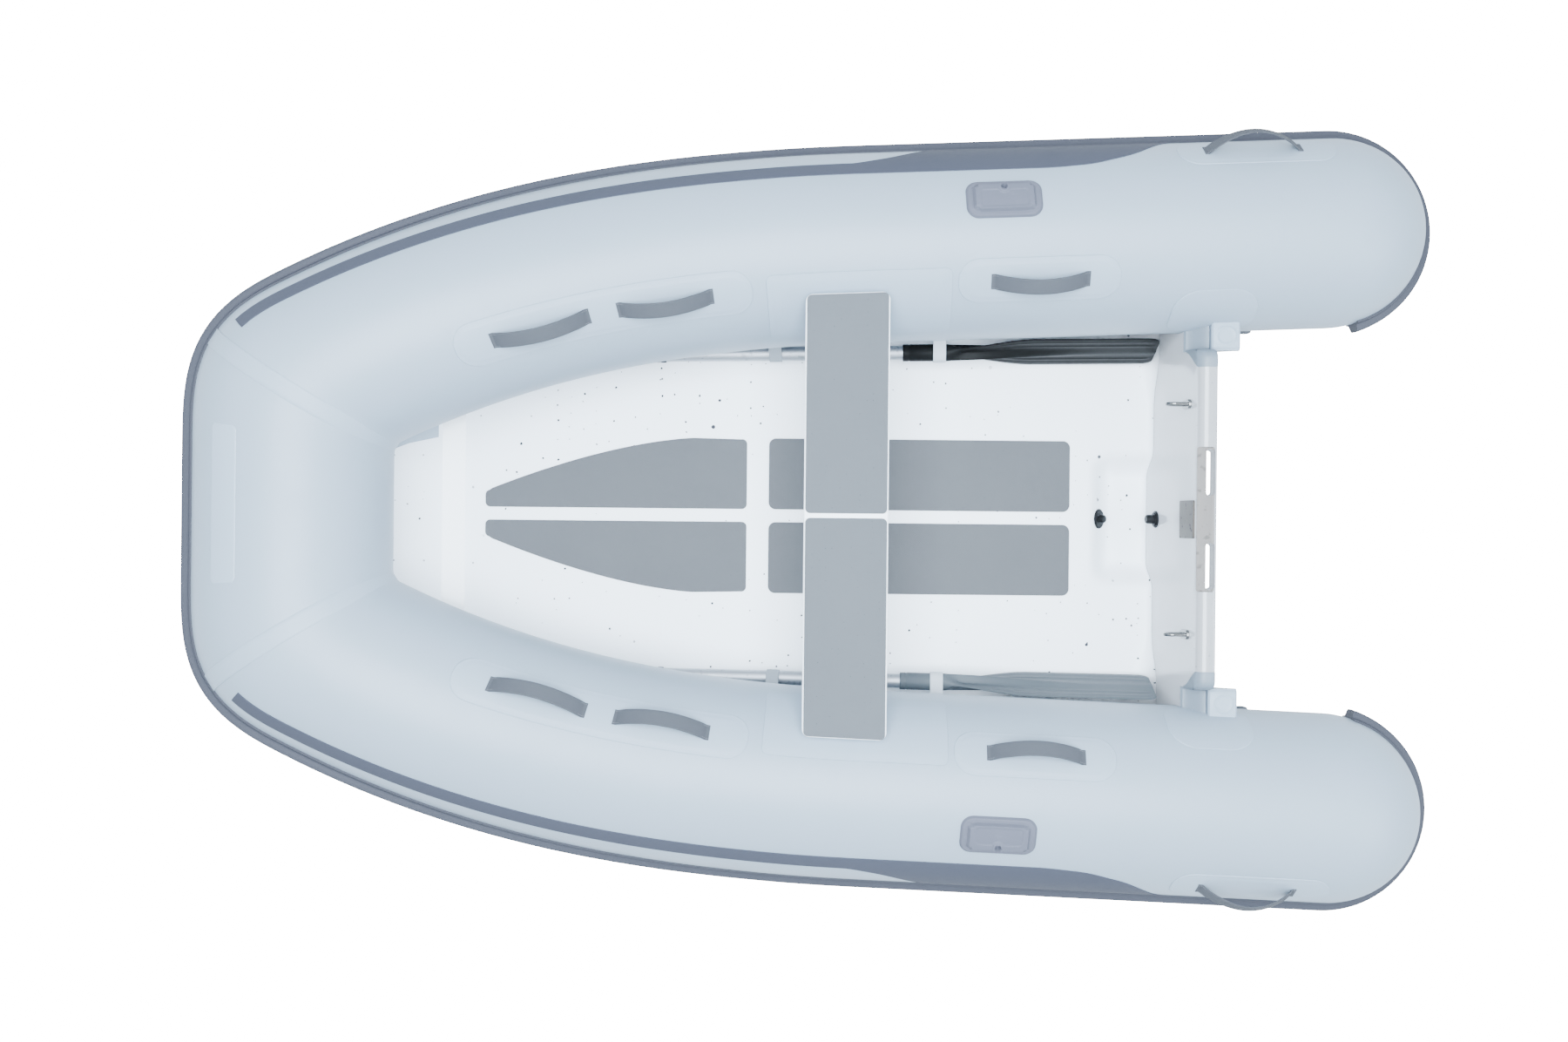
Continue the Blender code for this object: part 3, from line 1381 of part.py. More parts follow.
collar_cutter = tube_cutter()
make_tubes()
make_strake()
make_stripes()
make_handles()
make_oarlock_bases()
make_hull(collar_cutter)
make_frames()
make_deck()
make_bung()
make_deck_pads()
make_transom(collar_cutter)
make_motor_pads()
make_gussets()
make_drain()
make_eyes()
make_seat()
make_oars()
make_straps()
make_valves()
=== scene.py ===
# %% [markdown]
# # A rigid inflatable boat, seen from straight above
#
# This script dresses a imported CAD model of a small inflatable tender. The CAD model fixes every size and
# every joint. Here each piece gets its finish, and the soft pieces, which the CAD model only blocks in,
# are built again with rounded edges, seams, webbing and stitches. All sizes are in metres, with +X towards
# the bow, +Y to port and +Z up.

import math

import bmesh
import bpy
from mathutils import Matrix, Vector


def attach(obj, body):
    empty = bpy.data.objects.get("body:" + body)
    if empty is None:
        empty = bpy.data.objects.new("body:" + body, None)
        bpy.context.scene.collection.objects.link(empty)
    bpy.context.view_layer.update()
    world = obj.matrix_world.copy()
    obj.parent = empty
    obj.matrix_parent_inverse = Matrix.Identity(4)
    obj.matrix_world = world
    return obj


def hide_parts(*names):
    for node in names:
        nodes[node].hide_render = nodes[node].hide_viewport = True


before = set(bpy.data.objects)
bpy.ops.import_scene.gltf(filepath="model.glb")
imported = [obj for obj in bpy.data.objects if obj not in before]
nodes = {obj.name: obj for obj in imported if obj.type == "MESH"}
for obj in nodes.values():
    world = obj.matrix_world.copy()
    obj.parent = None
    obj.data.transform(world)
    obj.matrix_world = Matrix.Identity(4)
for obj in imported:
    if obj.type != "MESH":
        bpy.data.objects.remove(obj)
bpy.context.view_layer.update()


def add_object(name, data):
    """A new object in the scene."""
    made = bpy.data.objects.new(name, data)
    bpy.context.scene.collection.objects.link(made)
    return made


# %% [markdown]
# ## The camera
#
# The photograph looks straight down. Its edges converge a little, because the tubes' tops are nearer than
# the floor, so the camera is a real one with a lens and not a flat projection. A straight-down camera has
# no natural "up", so its rotation is written out as a matrix: one column each for right, up and back.
# The bow points left in the picture, and the camera was held about half a degree off square.

# %% Set up the camera
camera_place = Vector((0.074, 0.012, 3.746))
camera_roll = math.radians(0.55)
lens_length = sensor_width = 36.0

camera = add_object("camera", bpy.data.cameras.new("camera"))
camera.data.lens = lens_length
camera.data.sensor_width = sensor_width
right = Vector((-math.cos(camera_roll), -math.sin(camera_roll), 0))
up = Vector((math.sin(camera_roll), -math.cos(camera_roll), 0))
turn = Matrix((right, up, Vector((0, 0, 1)))).transposed()
camera.matrix_world = Matrix.Translation(camera_place) @ turn.to_4x4()
bpy.context.scene.camera = camera
print("camera at", tuple(camera_place), "with a", lens_length, "mm lens")

# %% [markdown]
# ## Light
#
# The photograph has the even, shadowless light of a studio with a white floor. One large soft light hangs
# over the boat. A larger one than the boat would flatten the tubes, so it stays about as large as the boat
# and lets their sides fall away a little. Two weaker ones stand beyond the stern and the bow. A bright
# surround fills in the rest; the camera sees it burnt out to plain white, as the photograph does. All of
# the light is a little blue, and strong: the view transform bends bright colours together, and only strong
# light brings white near the top of its curve. So the materials below are darker than they look.

# %% Place the lights and the surround
day = (0.80, 0.90, 1.0)
light_width = 3.0
fill_strength = 1.9
burnt_out = 24.0


def soft_light(name, place, aim, power):
    """A square area light that looks at a point."""
    data = bpy.data.lights.new(name, "AREA")
    data.shape = "SQUARE"
    data.size, data.energy, data.color = light_width, power, day
    lamp = add_object(name, data)
    lamp.location = place
    lamp.rotation_euler = (Vector(aim) - Vector(place)).to_track_quat("-Z", "Y").to_euler()


soft_light("overhead light", (0.1, 0.0, 4.6), (0.1, 0.0, 0), 800)
soft_light("stern light", (-4.0, 1.5, 3.5), (0, 0, 0.2), 190)
soft_light("bow light", (4.0, -1.5, 3.5), (0, 0, 0.2), 60)

world = bpy.data.worlds.new("white studio")
world.use_nodes = True
surround = world.node_tree
fill = surround.nodes["Background"]
fill.inputs["Color"].default_value = (*day, 1)
fill.inputs["Strength"].default_value = fill_strength
backdrop = surround.nodes.new("ShaderNodeBackground")
backdrop.inputs["Strength"].default_value = burnt_out
rays = surround.nodes.new("ShaderNodeLightPath")
chosen = surround.nodes.new("ShaderNodeMixShader")
surround.links.new(rays.outputs["Is Camera Ray"], chosen.inputs[0])
surround.links.new(fill.outputs[0], chosen.inputs[1])
surround.links.new(backdrop.outputs[0], chosen.inputs[2])
surround.links.new(chosen.outputs[0], surround.nodes["World Output"].inputs["Surface"])
bpy.context.scene.world = world

# %% [markdown]
# ## A short way to write materials
#
# A material is a tree of nodes, and most of the wires in it carry plain numbers. Writing each Math node
# by hand hides the formula, so a small class wraps a socket and overloads the arithmetic signs. Then
# `0.5 + wave * depth` adds the two Math nodes by itself. A second class adds every other kind of node.

# %% Wrap sockets so that formulas build nodes
def arithmetic(operation, flipped=False):
    """A method that adds one Math node; flipped, it takes its two values the other way round."""
    def method(self, other):
        return self.tree.math(operation, *((other, self) if flipped else (self, other)))
    return method


class Wire:
    """An output socket that adds Math nodes when it is used in a sum."""

    def __init__(self, tree, socket):
        self.tree, self.socket = tree, socket

    __add__, __radd__ = arithmetic("ADD"), arithmetic("ADD", True)
    __sub__, __rsub__ = arithmetic("SUBTRACT"), arithmetic("SUBTRACT", True)
    __mul__, __rmul__ = arithmetic("MULTIPLY"), arithmetic("MULTIPLY", True)
    __truediv__, __pow__, __lt__ = arithmetic("DIVIDE"), arithmetic("POWER"), arithmetic("LESS_THAN")

    def __neg__(self):
        return self.tree.math("MULTIPLY", self, -1.0)

    def __abs__(self):
        return self.tree.math("ABSOLUTE", self)


class Tree:
    """A node tree of a material or of a modifier."""

    def __init__(self, tree):
        self.tree = tree

    def node(self, kind, settings=None, inputs=None):
        """Any node: its type, its settings first, and then its socket values and links."""
        made = self.tree.nodes.new(kind)
        for key, value in (settings or {}).items():
            setattr(made, key, value)
        for key, value in (inputs or {}).items():
            self.feed(made.inputs[key], value)
        return made

    def feed(self, socket, value):
        """Link a wire to a socket, or set the socket's own value."""
        if isinstance(value, Wire):
            self.tree.links.new(value.socket, socket)
        else:
            socket.default_value = value

    def out(self, made, name=0):
        return Wire(self, made.outputs[name])

    def math(self, operation, *values):
        return self.out(self.node("ShaderNodeMath", {"operation": operation}, dict(enumerate(values))))

    def highest(self, a, b):
        return self.math("MAXIMUM", a, b)

    def sine(self, value):
        return self.math("SINE", value)

    def ramp(self, value, low, high):
        """0 below low, 1 above high, and eased between."""
        made = self.node("ShaderNodeMapRange", {"interpolation_type": "SMOOTHSTEP"},
                         {"Value": value, "From Min": low, "From Max": high})
        return self.out(made, "Result")

    def split(self, vector):
        made = self.node("ShaderNodeSeparateXYZ", inputs={0: vector})
        return [self.out(made, k) for k in range(3)]

    def join(self, x, y, z=0.0):
        return self.out(self.node("ShaderNodeCombineXYZ", inputs={0: x, 1: y, 2: z}))

    def noise(self, vector, scale, detail=3.0, roughness=0.5):
        made = self.node("ShaderNodeTexNoise", inputs={
            "Vector": vector, "Scale": scale, "Detail": detail, "Roughness": roughness})
        return self.out(made, 0)

    def cells(self, vector, size):
        """Distance in metres to the nearest of scattered points, and a random number for each."""
        made = self.node("ShaderNodeTexVoronoi", {"voronoi_dimensions": "2D"},
                         {"Vector": vector, "Scale": 1 / size, "Randomness": 0.9})
        return self.out(made, "Distance") * size, self.split(self.out(made, "Color"))

    def blend(self, share, a, b):
        """Mix two colours."""
        return self.out(self.node("ShaderNodeMix", {"data_type": "RGBA"}, {0: share, 6: a, 7: b}), 2)


def scaled(colour, share):
    return tuple(min(value * share, 1.0) for value in colour[:3]) + (1.0,)


class Finish(Tree):
    """A material with one Principled shader, while it is being wired."""

    def __init__(self, name):
        self.material = bpy.data.materials.new(name)
        self.material.use_nodes = True
        super().__init__(self.material.node_tree)
        self.shader = self.tree.nodes["Principled BSDF"]
        coordinates = self.node("ShaderNodeTexCoord")
        self.place = self.out(coordinates, "Object")
        self.x, self.y, self.z = self.split(self.place)
        self.u, self.v, _ = self.split(self.out(coordinates, "UV"))

    def set(self, **values):
        """Feed the shader: colour, roughness, metallic and the like."""
        names = {"colour": "Base Color", "roughness": "Roughness", "metallic": "Metallic",
                 "coat": "Coat Weight", "coat_roughness": "Coat Roughness",
                 "specular": "Specular IOR Level"}
        for key, value in values.items():
            self.feed(self.shader.inputs[names[key]], value)
        return self

    def bump(self, height, depth, strength=1.0):
        """Dent the shading by a height from 0 to 1 that stands for a depth in metres."""
        made = self.node("ShaderNodeBump",
                         inputs={"Height": height, "Distance": depth, "Strength": strength})
        self.tree.links.new(made.outputs["Normal"], self.shader.inputs["Normal"])
        return self


print("a material is written as Finish(name).set(colour=..., roughness=...).bump(...)")

# %% [markdown]
# ## The materials
#
# The tubes are a coated fabric: a light grey rubber skin over a woven cloth. Close up the weave shows as a
# fine regular relief, and from a metre away only as a soft, slightly uneven sheen. So the material has
# three scales: broad clouds in the colour, a fine grain in the gloss, and the weave in the bump.

# %% Coated fabrics for tubes, patches, stripes and strake
def coated_fabric(name, colour, gloss=0.46, weave=0.0011, relief=0.00005, cloud=0.03, coat=0.12,
                  specular=0.5):
    """A rubber skin over woven cloth, with its UV map in metres along the weave."""
    f = Finish(name)
    clouds = f.noise(f.place, 2.2, 2.0)
    grain = f.noise(f.place, 420.0, 2.0)
    smudge = f.ramp(f.noise(f.place, 9.0, 4.0, 0.6), 0.52, 0.75)
    shade = f.blend(clouds, scaled(colour, 1 - cloud), scaled(colour, 1 + cloud))
    shade = f.blend(smudge * 0.25, shade, scaled(colour, 0.93))
    pitch = math.tau / weave
    threads = f.sine(f.u * pitch) * f.sine(f.v * pitch) * 0.5 + 0.5
    f.set(colour=shade, roughness=gloss + (grain - 0.5) * 0.12 + smudge * 0.05, coat=coat,
          coat_roughness=0.35, specular=specular)
    return f.bump(threads * 0.5 + grain * 0.5, relief).material


tube_colour = (0.245, 0.308, 0.372, 1)
finishes = {
    "tube_fabric": coated_fabric("coated tube fabric", tube_colour),
    "stripe_fabric": coated_fabric("coated stripe fabric", (0.048, 0.053, 0.072, 1), gloss=0.6,
                                   coat=0.0, specular=0.1),
    "patch_fabric": coated_fabric("coated patch fabric", scaled(tube_colour, 1.06), gloss=0.5,
                                  relief=0.00007),
    "label_fabric": coated_fabric("bow patch fabric", scaled(tube_colour, 1.16), gloss=0.4,
                                  relief=0.00007),
    # A darker copy of the tube fabric: painted shade for the transom's corners.
    "corner_shade_fabric": coated_fabric("corner fabric", scaled(tube_colour, 0.55), gloss=0.5),
}


def moulded_rubber(name, colour, gloss=0.45):
    """Extruded rubber, scuffed and a little paler where it has been rubbed."""
    f = Finish(name)
    clouds = f.noise(f.place, 5.0, 3.0)
    scuff = f.ramp(f.noise(f.place, 60.0, 5.0, 0.7), 0.56, 0.72)
    shade = f.blend(clouds, scaled(colour, 0.95), scaled(colour, 1.05))
    shade = f.blend(scuff * 0.3, shade, scaled(colour, 1.25))
    grain = f.noise(f.place, 700.0, 2.0)
    f.set(colour=shade, roughness=gloss + scuff * 0.15 + grain * 0.06, specular=0.15)
    return f.bump(grain, 0.00008).material


finishes["strake_rubber"] = moulded_rubber("rub strake rubber", (0.045, 0.048, 0.061, 1))
finishes["oarlock_rubber"] = moulded_rubber("oarlock rubber", (0.094, 0.100, 0.128, 1), gloss=0.4)
finishes["keel_rubber"] = moulded_rubber("keel rubber", (0.030, 0.032, 0.036, 1), gloss=0.6)
finishes["drain_rubber"] = moulded_rubber("bung rubber", (0.007, 0.008, 0.009, 1), gloss=0.5)
print("fabrics and rubbers:", sorted(finishes))

# %% [markdown]
# Webbing is a flat woven band. Two sine waves at right angles, one of them shifted from row to row, give
# the over and under of its threads. The UV map of each band runs in metres, so one weave fits them all.

# %% Webbing and thread
def webbing(name, colour, pitch=0.0022):
    """A woven band: ribs across it, crossed by finer threads."""
    f = Finish(name)
    turns = math.tau / pitch
    ribs = f.sine(f.u * turns + f.sine(f.v * turns * 0.5) * 1.4)
    threads = f.sine(f.v * turns * 1.6)
    weave = ribs * threads * 0.5 + 0.5
    clouds = f.noise(f.place, 40.0, 3.0)
    shade = f.blend(weave, scaled(colour, 0.8), scaled(colour, 1.12))
    shade = f.blend(clouds * 0.35, shade, scaled(colour, 0.88))
    f.set(colour=shade, roughness=0.72 - weave * 0.08, specular=0.2)
    return f.bump(weave, 0.0003).material


finishes["webbing"] = webbing("handle webbing", (0.062, 0.068, 0.080, 1))
finishes["strap_webbing"] = webbing("strap webbing", (0.52, 0.56, 0.60, 1), pitch=0.0018)
# The forward straps are a darker grey webbing than the aft ones.
finishes["strap_webbing_dark"] = webbing("worn strap webbing", (0.30, 0.335, 0.37, 1), pitch=0.0018)


def thread(name, colour):
    f = Finish(name)
    twist = f.sine((f.x + f.y + f.z) * (math.tau / 0.0008)) * 0.5 + 0.5
    f.set(colour=f.blend(twist, scaled(colour, 0.8), colour), roughness=0.6)
    return f.bump(twist, 0.0001).material


finishes["thread"] = thread("sewing thread", (0.24, 0.27, 0.31, 1))
print("webbings and thread are ready")

# %% [markdown]
# The hull and deck are gelcoat, a thick glossy paint that is sprayed into the mould. This deck is bright
# white and carries the dark specks of grit that every used tender collects. The specks are the inside of
# small circles round scattered points, and each point's random number decides how large its circle is.

# %% Gelcoat for hull, deck and transom
def specks(f, across, size, least, most, keep):
    """1 inside small spots: one in each cell of that size, of which a share is kept."""
    distance, (pick, grow, _) = f.cells(across, size)
    radius = least + grow * grow * (most - least)
    return (distance < radius) * (pick < keep)


big_spot, spot_radius = (0.240, -0.2045), 0.0045
# Where the deck's painted shade towards the transom begins.
aft_shade_x, aft_shade_y = -0.735, 0.300
# Heights over which the transom's top is darkened: painted shade.
top_shade_low, top_shade_high = 0.384, 0.390


def gelcoat(name, colour, dirt=1.0, gloss=0.16, coat=0.4, aft_shade_colour=None, shaded_top=False):
    """Gelcoat with grit; it may carry painted shade in its aft corners, or painted shade along its top."""
    f = Finish(name)
    flat = f.join(f.x + f.noise(f.place, 90.0) * 0.004, f.y + f.noise(f.place, 75.0) * 0.004)
    grit = f.highest(specks(f, flat, 0.030, 0.0010, 0.0026, 0.26),
                     specks(f, flat, 0.110, 0.0022, 0.0044, 0.45))
    gather = f.ramp(f.noise(f.place, 5.0, 2.0), 0.38, 0.52)
    grit = grit * gather * dirt
    if aft_shade_colour:
        off_x, off_y = f.x - big_spot[0], f.y - big_spot[1]
        grit = f.highest(grit, (off_x * off_x + off_y * off_y) ** 0.5 < spot_radius)
    clouds = f.noise(f.place, 3.0, 2.0)
    shade = f.blend(clouds, scaled(colour, 0.985), colour)
    # Painted shade: towards the transom the deck's white turns to the transom's grey, where the transom
    # shades it.
    if aft_shade_colour:
        aft = f.highest(aft_shade_x - f.x, 0.0)
        out = f.highest(abs(f.y) - aft_shade_y, 0.0) * f.ramp(-f.x, 0.64, 0.76)
        shade = f.blend(f.ramp((aft * aft + out * out) ** 0.5, 0.045, 0.085) * 0.8, shade, aft_shade_colour)
    # Painted shade: the top faces the light and would come out brighter than the face, so it is darkened.
    if shaded_top:
        shade = f.blend(f.ramp(f.z, top_shade_low, top_shade_high) * 0.35, shade, (0, 0, 0, 1))
    shade = f.blend(grit, shade, (0.03, 0.032, 0.04, 1))
    peel = f.noise(f.place, 130.0, 1.0)
    f.set(colour=shade, roughness=gloss + grit * 0.4 + clouds * 0.05, coat=coat, coat_roughness=0.08)
    return f.bump(peel, 0.00012, 0.6).material


white, transom_grey = (0.90, 0.94, 0.98, 1), (0.50, 0.51, 0.53, 1)
# The deck takes the transom's grey in its aft corners as painted shade.
finishes["gelcoat"] = gelcoat("deck gelcoat", white, gloss=0.42, coat=0.0, aft_shade_colour=transom_grey)
finishes["hull_gelcoat"] = gelcoat("hull gelcoat", (0.80, 0.82, 0.84, 1), dirt=0.15)
# The transom's top carries painted shade.
finishes["transom_gelcoat"] = gelcoat("transom gelcoat", transom_grey, dirt=0.35, shaded_top=True)


def rough_laminate(name, colour):
    f = Finish(name)
    strands = f.noise(f.place, 160.0, 4.0, 0.7)
    f.set(colour=f.blend(strands, scaled(colour, 0.8), colour), roughness=0.5 + strands * 0.2)
    return f.bump(strands, 0.0005).material


finishes["raw_laminate"] = rough_laminate("raw laminate", (0.34, 0.35, 0.32, 1))
print("gelcoats are ready")

# %% [markdown]
# The pads on deck and seat are non-skid foam. Their surface is a field of small raised diamonds, which is
# the product of two slanted waves. The metal plates are brushed: a noise that is stretched a hundred times
# longer in one direction than in the other draws the fine parallel scratches.

# %% Non-skid foam, coated seat and metals
def tread_foam(name, colour, pitch=0.0042, dust=0.12):
    """Foam with raised diamonds, a little lighter on the diamonds than in the hollows, and dark specks of
    dust.
    """
    f = Finish(name)
    turns = math.tau / pitch
    a = f.sine((f.x + f.y) * turns)
    b = f.sine((f.x - f.y) * turns)
    stud = f.ramp(a * b, 0.0, 0.45)
    clouds = f.noise(f.place, 7.0, 4.0, 0.6)
    fine = f.noise(f.place, 260.0, 2.0)
    shade = f.blend(clouds, scaled(colour, 0.94), scaled(colour, 1.05))
    shade = f.blend(stud * 0.3, shade, scaled(colour, 1.1))
    grains = specks(f, f.join(f.x, f.y), 0.014, 0.0002, 0.0007, 0.3)
    shade = f.blend(grains * dust * 3, shade, scaled(colour, 0.25))
    f.set(colour=shade, roughness=0.78 - stud * 0.08 + fine * 0.06, specular=0.15)
    return f.bump(stud * 0.8 + fine * 0.2, 0.00035).material


finishes["deck_pad_foam"] = tread_foam("deck pad foam", (0.102, 0.108, 0.116, 1))
finishes["seat_pad_foam"] = tread_foam("seat pad foam", (0.106, 0.117, 0.128, 1), dust=0.3)


def powder_coat(name, colour):
    f = Finish(name)
    peel = f.noise(f.place, 900.0, 2.0)
    clouds = f.noise(f.place, 12.0, 2.0)
    f.set(colour=f.blend(clouds, scaled(colour, 0.98), colour), roughness=0.3 + peel * 0.12, coat=0.2)
    return f.bump(peel, 0.00005).material


finishes["seat_coating"] = powder_coat("seat coating", (0.86, 0.90, 0.94, 1))


def metal(name, colour, gloss, brush=0.0, along=(1.0, 60.0, 60.0)):
    """Bare metal; brush is how strongly the parallel scratches show."""
    f = Finish(name)
    stretched = f.join(f.x * along[0], f.y * along[1], f.z * along[2])
    lines = f.noise(stretched, 18.0, 4.0, 0.65)
    marks = f.ramp(f.noise(f.place, 70.0, 4.0), 0.58, 0.70)
    shade = f.blend(lines * brush, colour, scaled(colour, 0.7))
    shade = f.blend(marks * brush, shade, scaled(colour, 0.3))
    f.set(colour=shade, roughness=gloss + lines * 0.15 * brush + marks * 0.2 * brush, metallic=1.0)
    return f.bump(lines, 0.00005 + 0.0001 * brush).material


finishes["transom_steel"] = metal("brushed plate", (0.145, 0.130, 0.117, 1), 0.36, brush=0.8,
                                 along=(40.0, 2.0, 40.0))
finishes["recess_steel"] = metal("polished recess liner", (0.154, 0.144, 0.137, 1), 0.30, brush=0.5,
                                along=(60.0, 1.5, 60.0))
finishes["marine_steel"] = metal("polished steel", (0.22, 0.22, 0.215, 1), 0.14, brush=0.1)
finishes["oar_aluminium"] = metal("anodised tube", (0.46, 0.48, 0.51, 1), 0.52, brush=0.35,
                                 along=(1.5, 80.0, 80.0))
print("foams, coatings and metals are ready")

# %% [markdown]
# Moulded plastics are nearly smooth. What tells them apart from paint is a very fine sandy texture from
# the mould, and a few long scratches where they have been handled.

# %% Moulded plastics
def moulded_plastic(name, colour, gloss=0.4, wear=0.25, specular=0.12):
    f = Finish(name)
    sand = f.noise(f.place, 1100.0, 2.0)
    stretched = f.join(f.x * 3.0, f.y * 55.0, f.z * 55.0)
    scratch = f.ramp(f.noise(stretched, 6.0, 3.0, 0.7), 0.60, 0.66)
    shade = f.blend(scratch * wear, colour, scaled(colour, 1.9))
    f.set(colour=shade, roughness=gloss + sand * 0.1 + scratch * 0.1, specular=specular)
    return f.bump(sand, 0.00006).material


finishes["oar_plastic"] = moulded_plastic("black oar plastic", (0.0065, 0.007, 0.0072, 1), wear=0.12,
                                          specular=0.06)
finishes["oar_plastic_grey"] = moulded_plastic("grey oar plastic", (0.078, 0.092, 0.104, 1), wear=0.1)
finishes["drain_plastic"] = moulded_plastic("drain plastic", (0.008, 0.009, 0.010, 1), gloss=0.3)
finishes["valve_plastic"] = moulded_plastic("valve plastic", (0.09, 0.10, 0.115, 1))
print(len(finishes), "finishes in all")

# %% [markdown]
# ## The line that the tubes follow
#
# Every soft piece of this boat is either a tube or is bonded to one. So the same few formulas that placed
# the tubes in the CAD model are written out again here, and each piece asks them for its points. A slice is
# an upright cut through a tube. Given an angle round the tube and a distance off its skin, it gives a point.

# %% Formulas of the tubes
tube_radius = 0.206
tube_height = 0.29
tube_spread = 0.585
tube_splay = 0.041
tail_x = -1.112
bend_x = -0.10
bow_x = 1.119
bow_draw_in = 0.274
bend_power = 2.36
bow_rise = 0.11
rise_x = 0.10
mitre_gap = 0.03
mitre_bulge = 0.068
skin_gap = 0.0004
fit_gap = 0.0003
UP = Vector((0, 0, 1))
SIDES = {"port": 1, "starboard": -1}


def ease(share):
    share = min(max(share, 0), 1)
    return share * share * (3 - 2 * share)


def spread(first, last, count):
    return [first + (last - first) * k / (count - 1) for k in range(count)]


def centre_y(x):
    run = max(x - bend_x, 0) / (bow_x - bend_x)
    return tube_spread - tube_splay * x - bow_draw_in * run ** bend_power


def centre_slope(x):
    run = max(x - bend_x, 0) / (bow_x - bend_x)
    return -tube_splay - bow_draw_in * bend_power / (bow_x - bend_x) * run ** (bend_power - 1)


def centre_z(x):
    return tube_height + bow_rise * ease((x - rise_x) / (bow_x - rise_x))


class Slice:
    """An upright cut through a tube. Angles start at the outer side and rise over the top."""

    def __init__(self, centre, out, half_width=tube_radius, height=tube_radius):
        self.centre, self.out = Vector(centre), Vector(out).normalized()
        self.half_width, self.height = half_width, height

    def normal(self, angle):
        return self.out * math.cos(angle) + UP * math.sin(angle)

    def tangent(self, angle):
        return UP * math.cos(angle) - self.out * math.sin(angle)

    def at(self, angle, off=0.0):
        wide = self.out * math.cos(angle) * (self.half_width + off)
        tall = UP * math.sin(angle) * (self.height + off)
        return self.centre + wide + tall


def side_slice(x):
    return Slice((x, centre_y(x), centre_z(x)), (-centre_slope(x), 1, 0))


def find_mitre():
    """The pivot that the mitred corner turns round, and where on the side tube it starts."""
    reach = tube_radius + mitre_gap
    low, high = 0.0, bow_x
    for _ in range(60):
        middle = (low + high) / 2
        inner = side_slice(middle).centre - side_slice(middle).out * reach
        low, high = (middle, high) if inner.x < bow_x - reach else (low, middle)
    return side_slice(low).centre - side_slice(low).out * reach, low


mitre_pivot, mitre_x = find_mitre()


def mitre_slice(share):
    start = side_slice(mitre_x).out
    angle = math.atan2(start.y, start.x) * (1 - share)
    out = Vector((math.cos(angle), math.sin(angle), 0))
    half_width = tube_radius * (1 + mitre_bulge * math.sin(math.pi * share) ** 2)
    centre = mitre_pivot + out * (mitre_gap + half_width)
    centre.z = centre_z(centre.x)
    return Slice(centre, out, half_width)


def bow_slice(y):
    return Slice((bow_x, y, centre_z(bow_x)), (1, 0, 0))


tail = side_slice(tail_x)
aft_way = Vector((-tail.out.y, tail.out.x, 0))


def tail_slice(angle):
    """A cut through the middle of the round tail, turned aft from the boat's outer side."""
    return Slice(tail.centre, tail.out * math.cos(angle) + aft_way * math.sin(angle))


def dome_slice(share):
    size = max(tube_radius * math.cos(math.pi / 2 * share), 0.0004)
    return Slice(tail.centre + aft_way * tube_radius * math.sin(math.pi / 2 * share), tail.out, size, size)


print("mitre pivot", tuple(round(v, 4) for v in mitre_pivot), "starts at x =", round(mitre_x, 4))

# %% [markdown]
# ## From points to pieces
#
# A piece is gathered as points, faces and one UV pair for each face corner, and only then made into a mesh.
# The UVs run in metres along and across the piece, so that a weave keeps its size on a long strip and on a
# short one. Starboard pieces are the mirror image of port ones, and the faces' directions are worked out
# again at the end, because mirroring turns them inside out. Each piece's slot, the finish in the CAD record
# that it stands for, is worked out and handed on, but nothing stores it; a few finishes here are variants
# that share one slot.

# %% Gather points and make objects
class Solid:
    """Points, faces and UV pairs of a piece, before its mesh is made."""

    def __init__(self):
        self.points, self.faces, self.uvs = [], [], []

    def grid(self, rows, us=None, vs=None, close_columns=False):
        """Quads between rows of points; us and vs are each row's and column's place in metres."""
        first, wide = len(self.points), len(rows[0])
        us = us or self.lengths([row[0] for row in rows])
        vs = vs or self.lengths(rows[len(rows) // 2])
        self.points += [p for row in rows for p in row]
        for i in range(len(rows) - 1):
            here, ahead = first + i * wide, first + (i + 1) * wide
            u0, u1 = us[i], us[i + 1]
            for j in range(wide if close_columns else wide - 1):
                m = (j + 1) % wide
                v0, v1 = vs[j], vs[m] if m else 2 * vs[-1] - vs[-2]
                self.faces.append([here + j, here + m, ahead + m, ahead + j])
                self.uvs += [(u0, v0), (u0, v1), (u1, v1), (u1, v0)]
        return first

    def lengths(self, points):
        total, out = 0.0, [0.0]
        for a, b in zip(points, points[1:]):
            total += (Vector(b) - Vector(a)).length
            out.append(total)
        return out

    def cap(self, ring, flip=False):
        """A flat face over a ring of points that are already there, by their numbers."""
        ring = list(reversed(ring)) if flip else list(ring)
        self.faces.append(ring)
        self.uvs += [(self.points[k][0], self.points[k][1]) for k in ring]

    def slab(self, top, bottom, us=None, vs=None):
        """The closed solid between two grids of points."""
        tall, wide = len(top), len(top[0])
        first = self.grid(top, us, vs)
        below = self.grid(bottom, us, vs)
        rim = list(range(wide)) + [i * wide + wide - 1 for i in range(1, tall)]
        rim += [(tall - 1) * wide + j for j in range(wide - 2, -1, -1)]
        rim += [i * wide for i in range(tall - 2, 0, -1)]
        for a, b in zip(rim, rim[1:] + rim[:1]):
            self.faces.append([first + a, first + b, below + b, below + a])
            self.uvs += [(0, 0), (0.001, 0), (0.001, 0.001), (0, 0.001)]
        return self

    def loft(self, rings, vs=None):
        """Skin closed rings and cap both ends."""
        first, wide = self.grid(rings, None, vs, close_columns=True), len(rings[0])
        last = first + (len(rings) - 1) * wide
        self.cap(range(first, first + wide), flip=True)
        self.cap(range(last, last + wide))
        return self

    def turned(self, profile, segments, place):
        """A profile of (radius, height) pairs turned about +Z; it starts and ends on the axis."""
        rings = [[place @ Vector((max(r, 1e-5) * math.cos(t), max(r, 1e-5) * math.sin(t), h))
                  for t in spread(0, math.tau, segments + 1)[:-1]] for r, h in profile]
        return self.loft(rings)


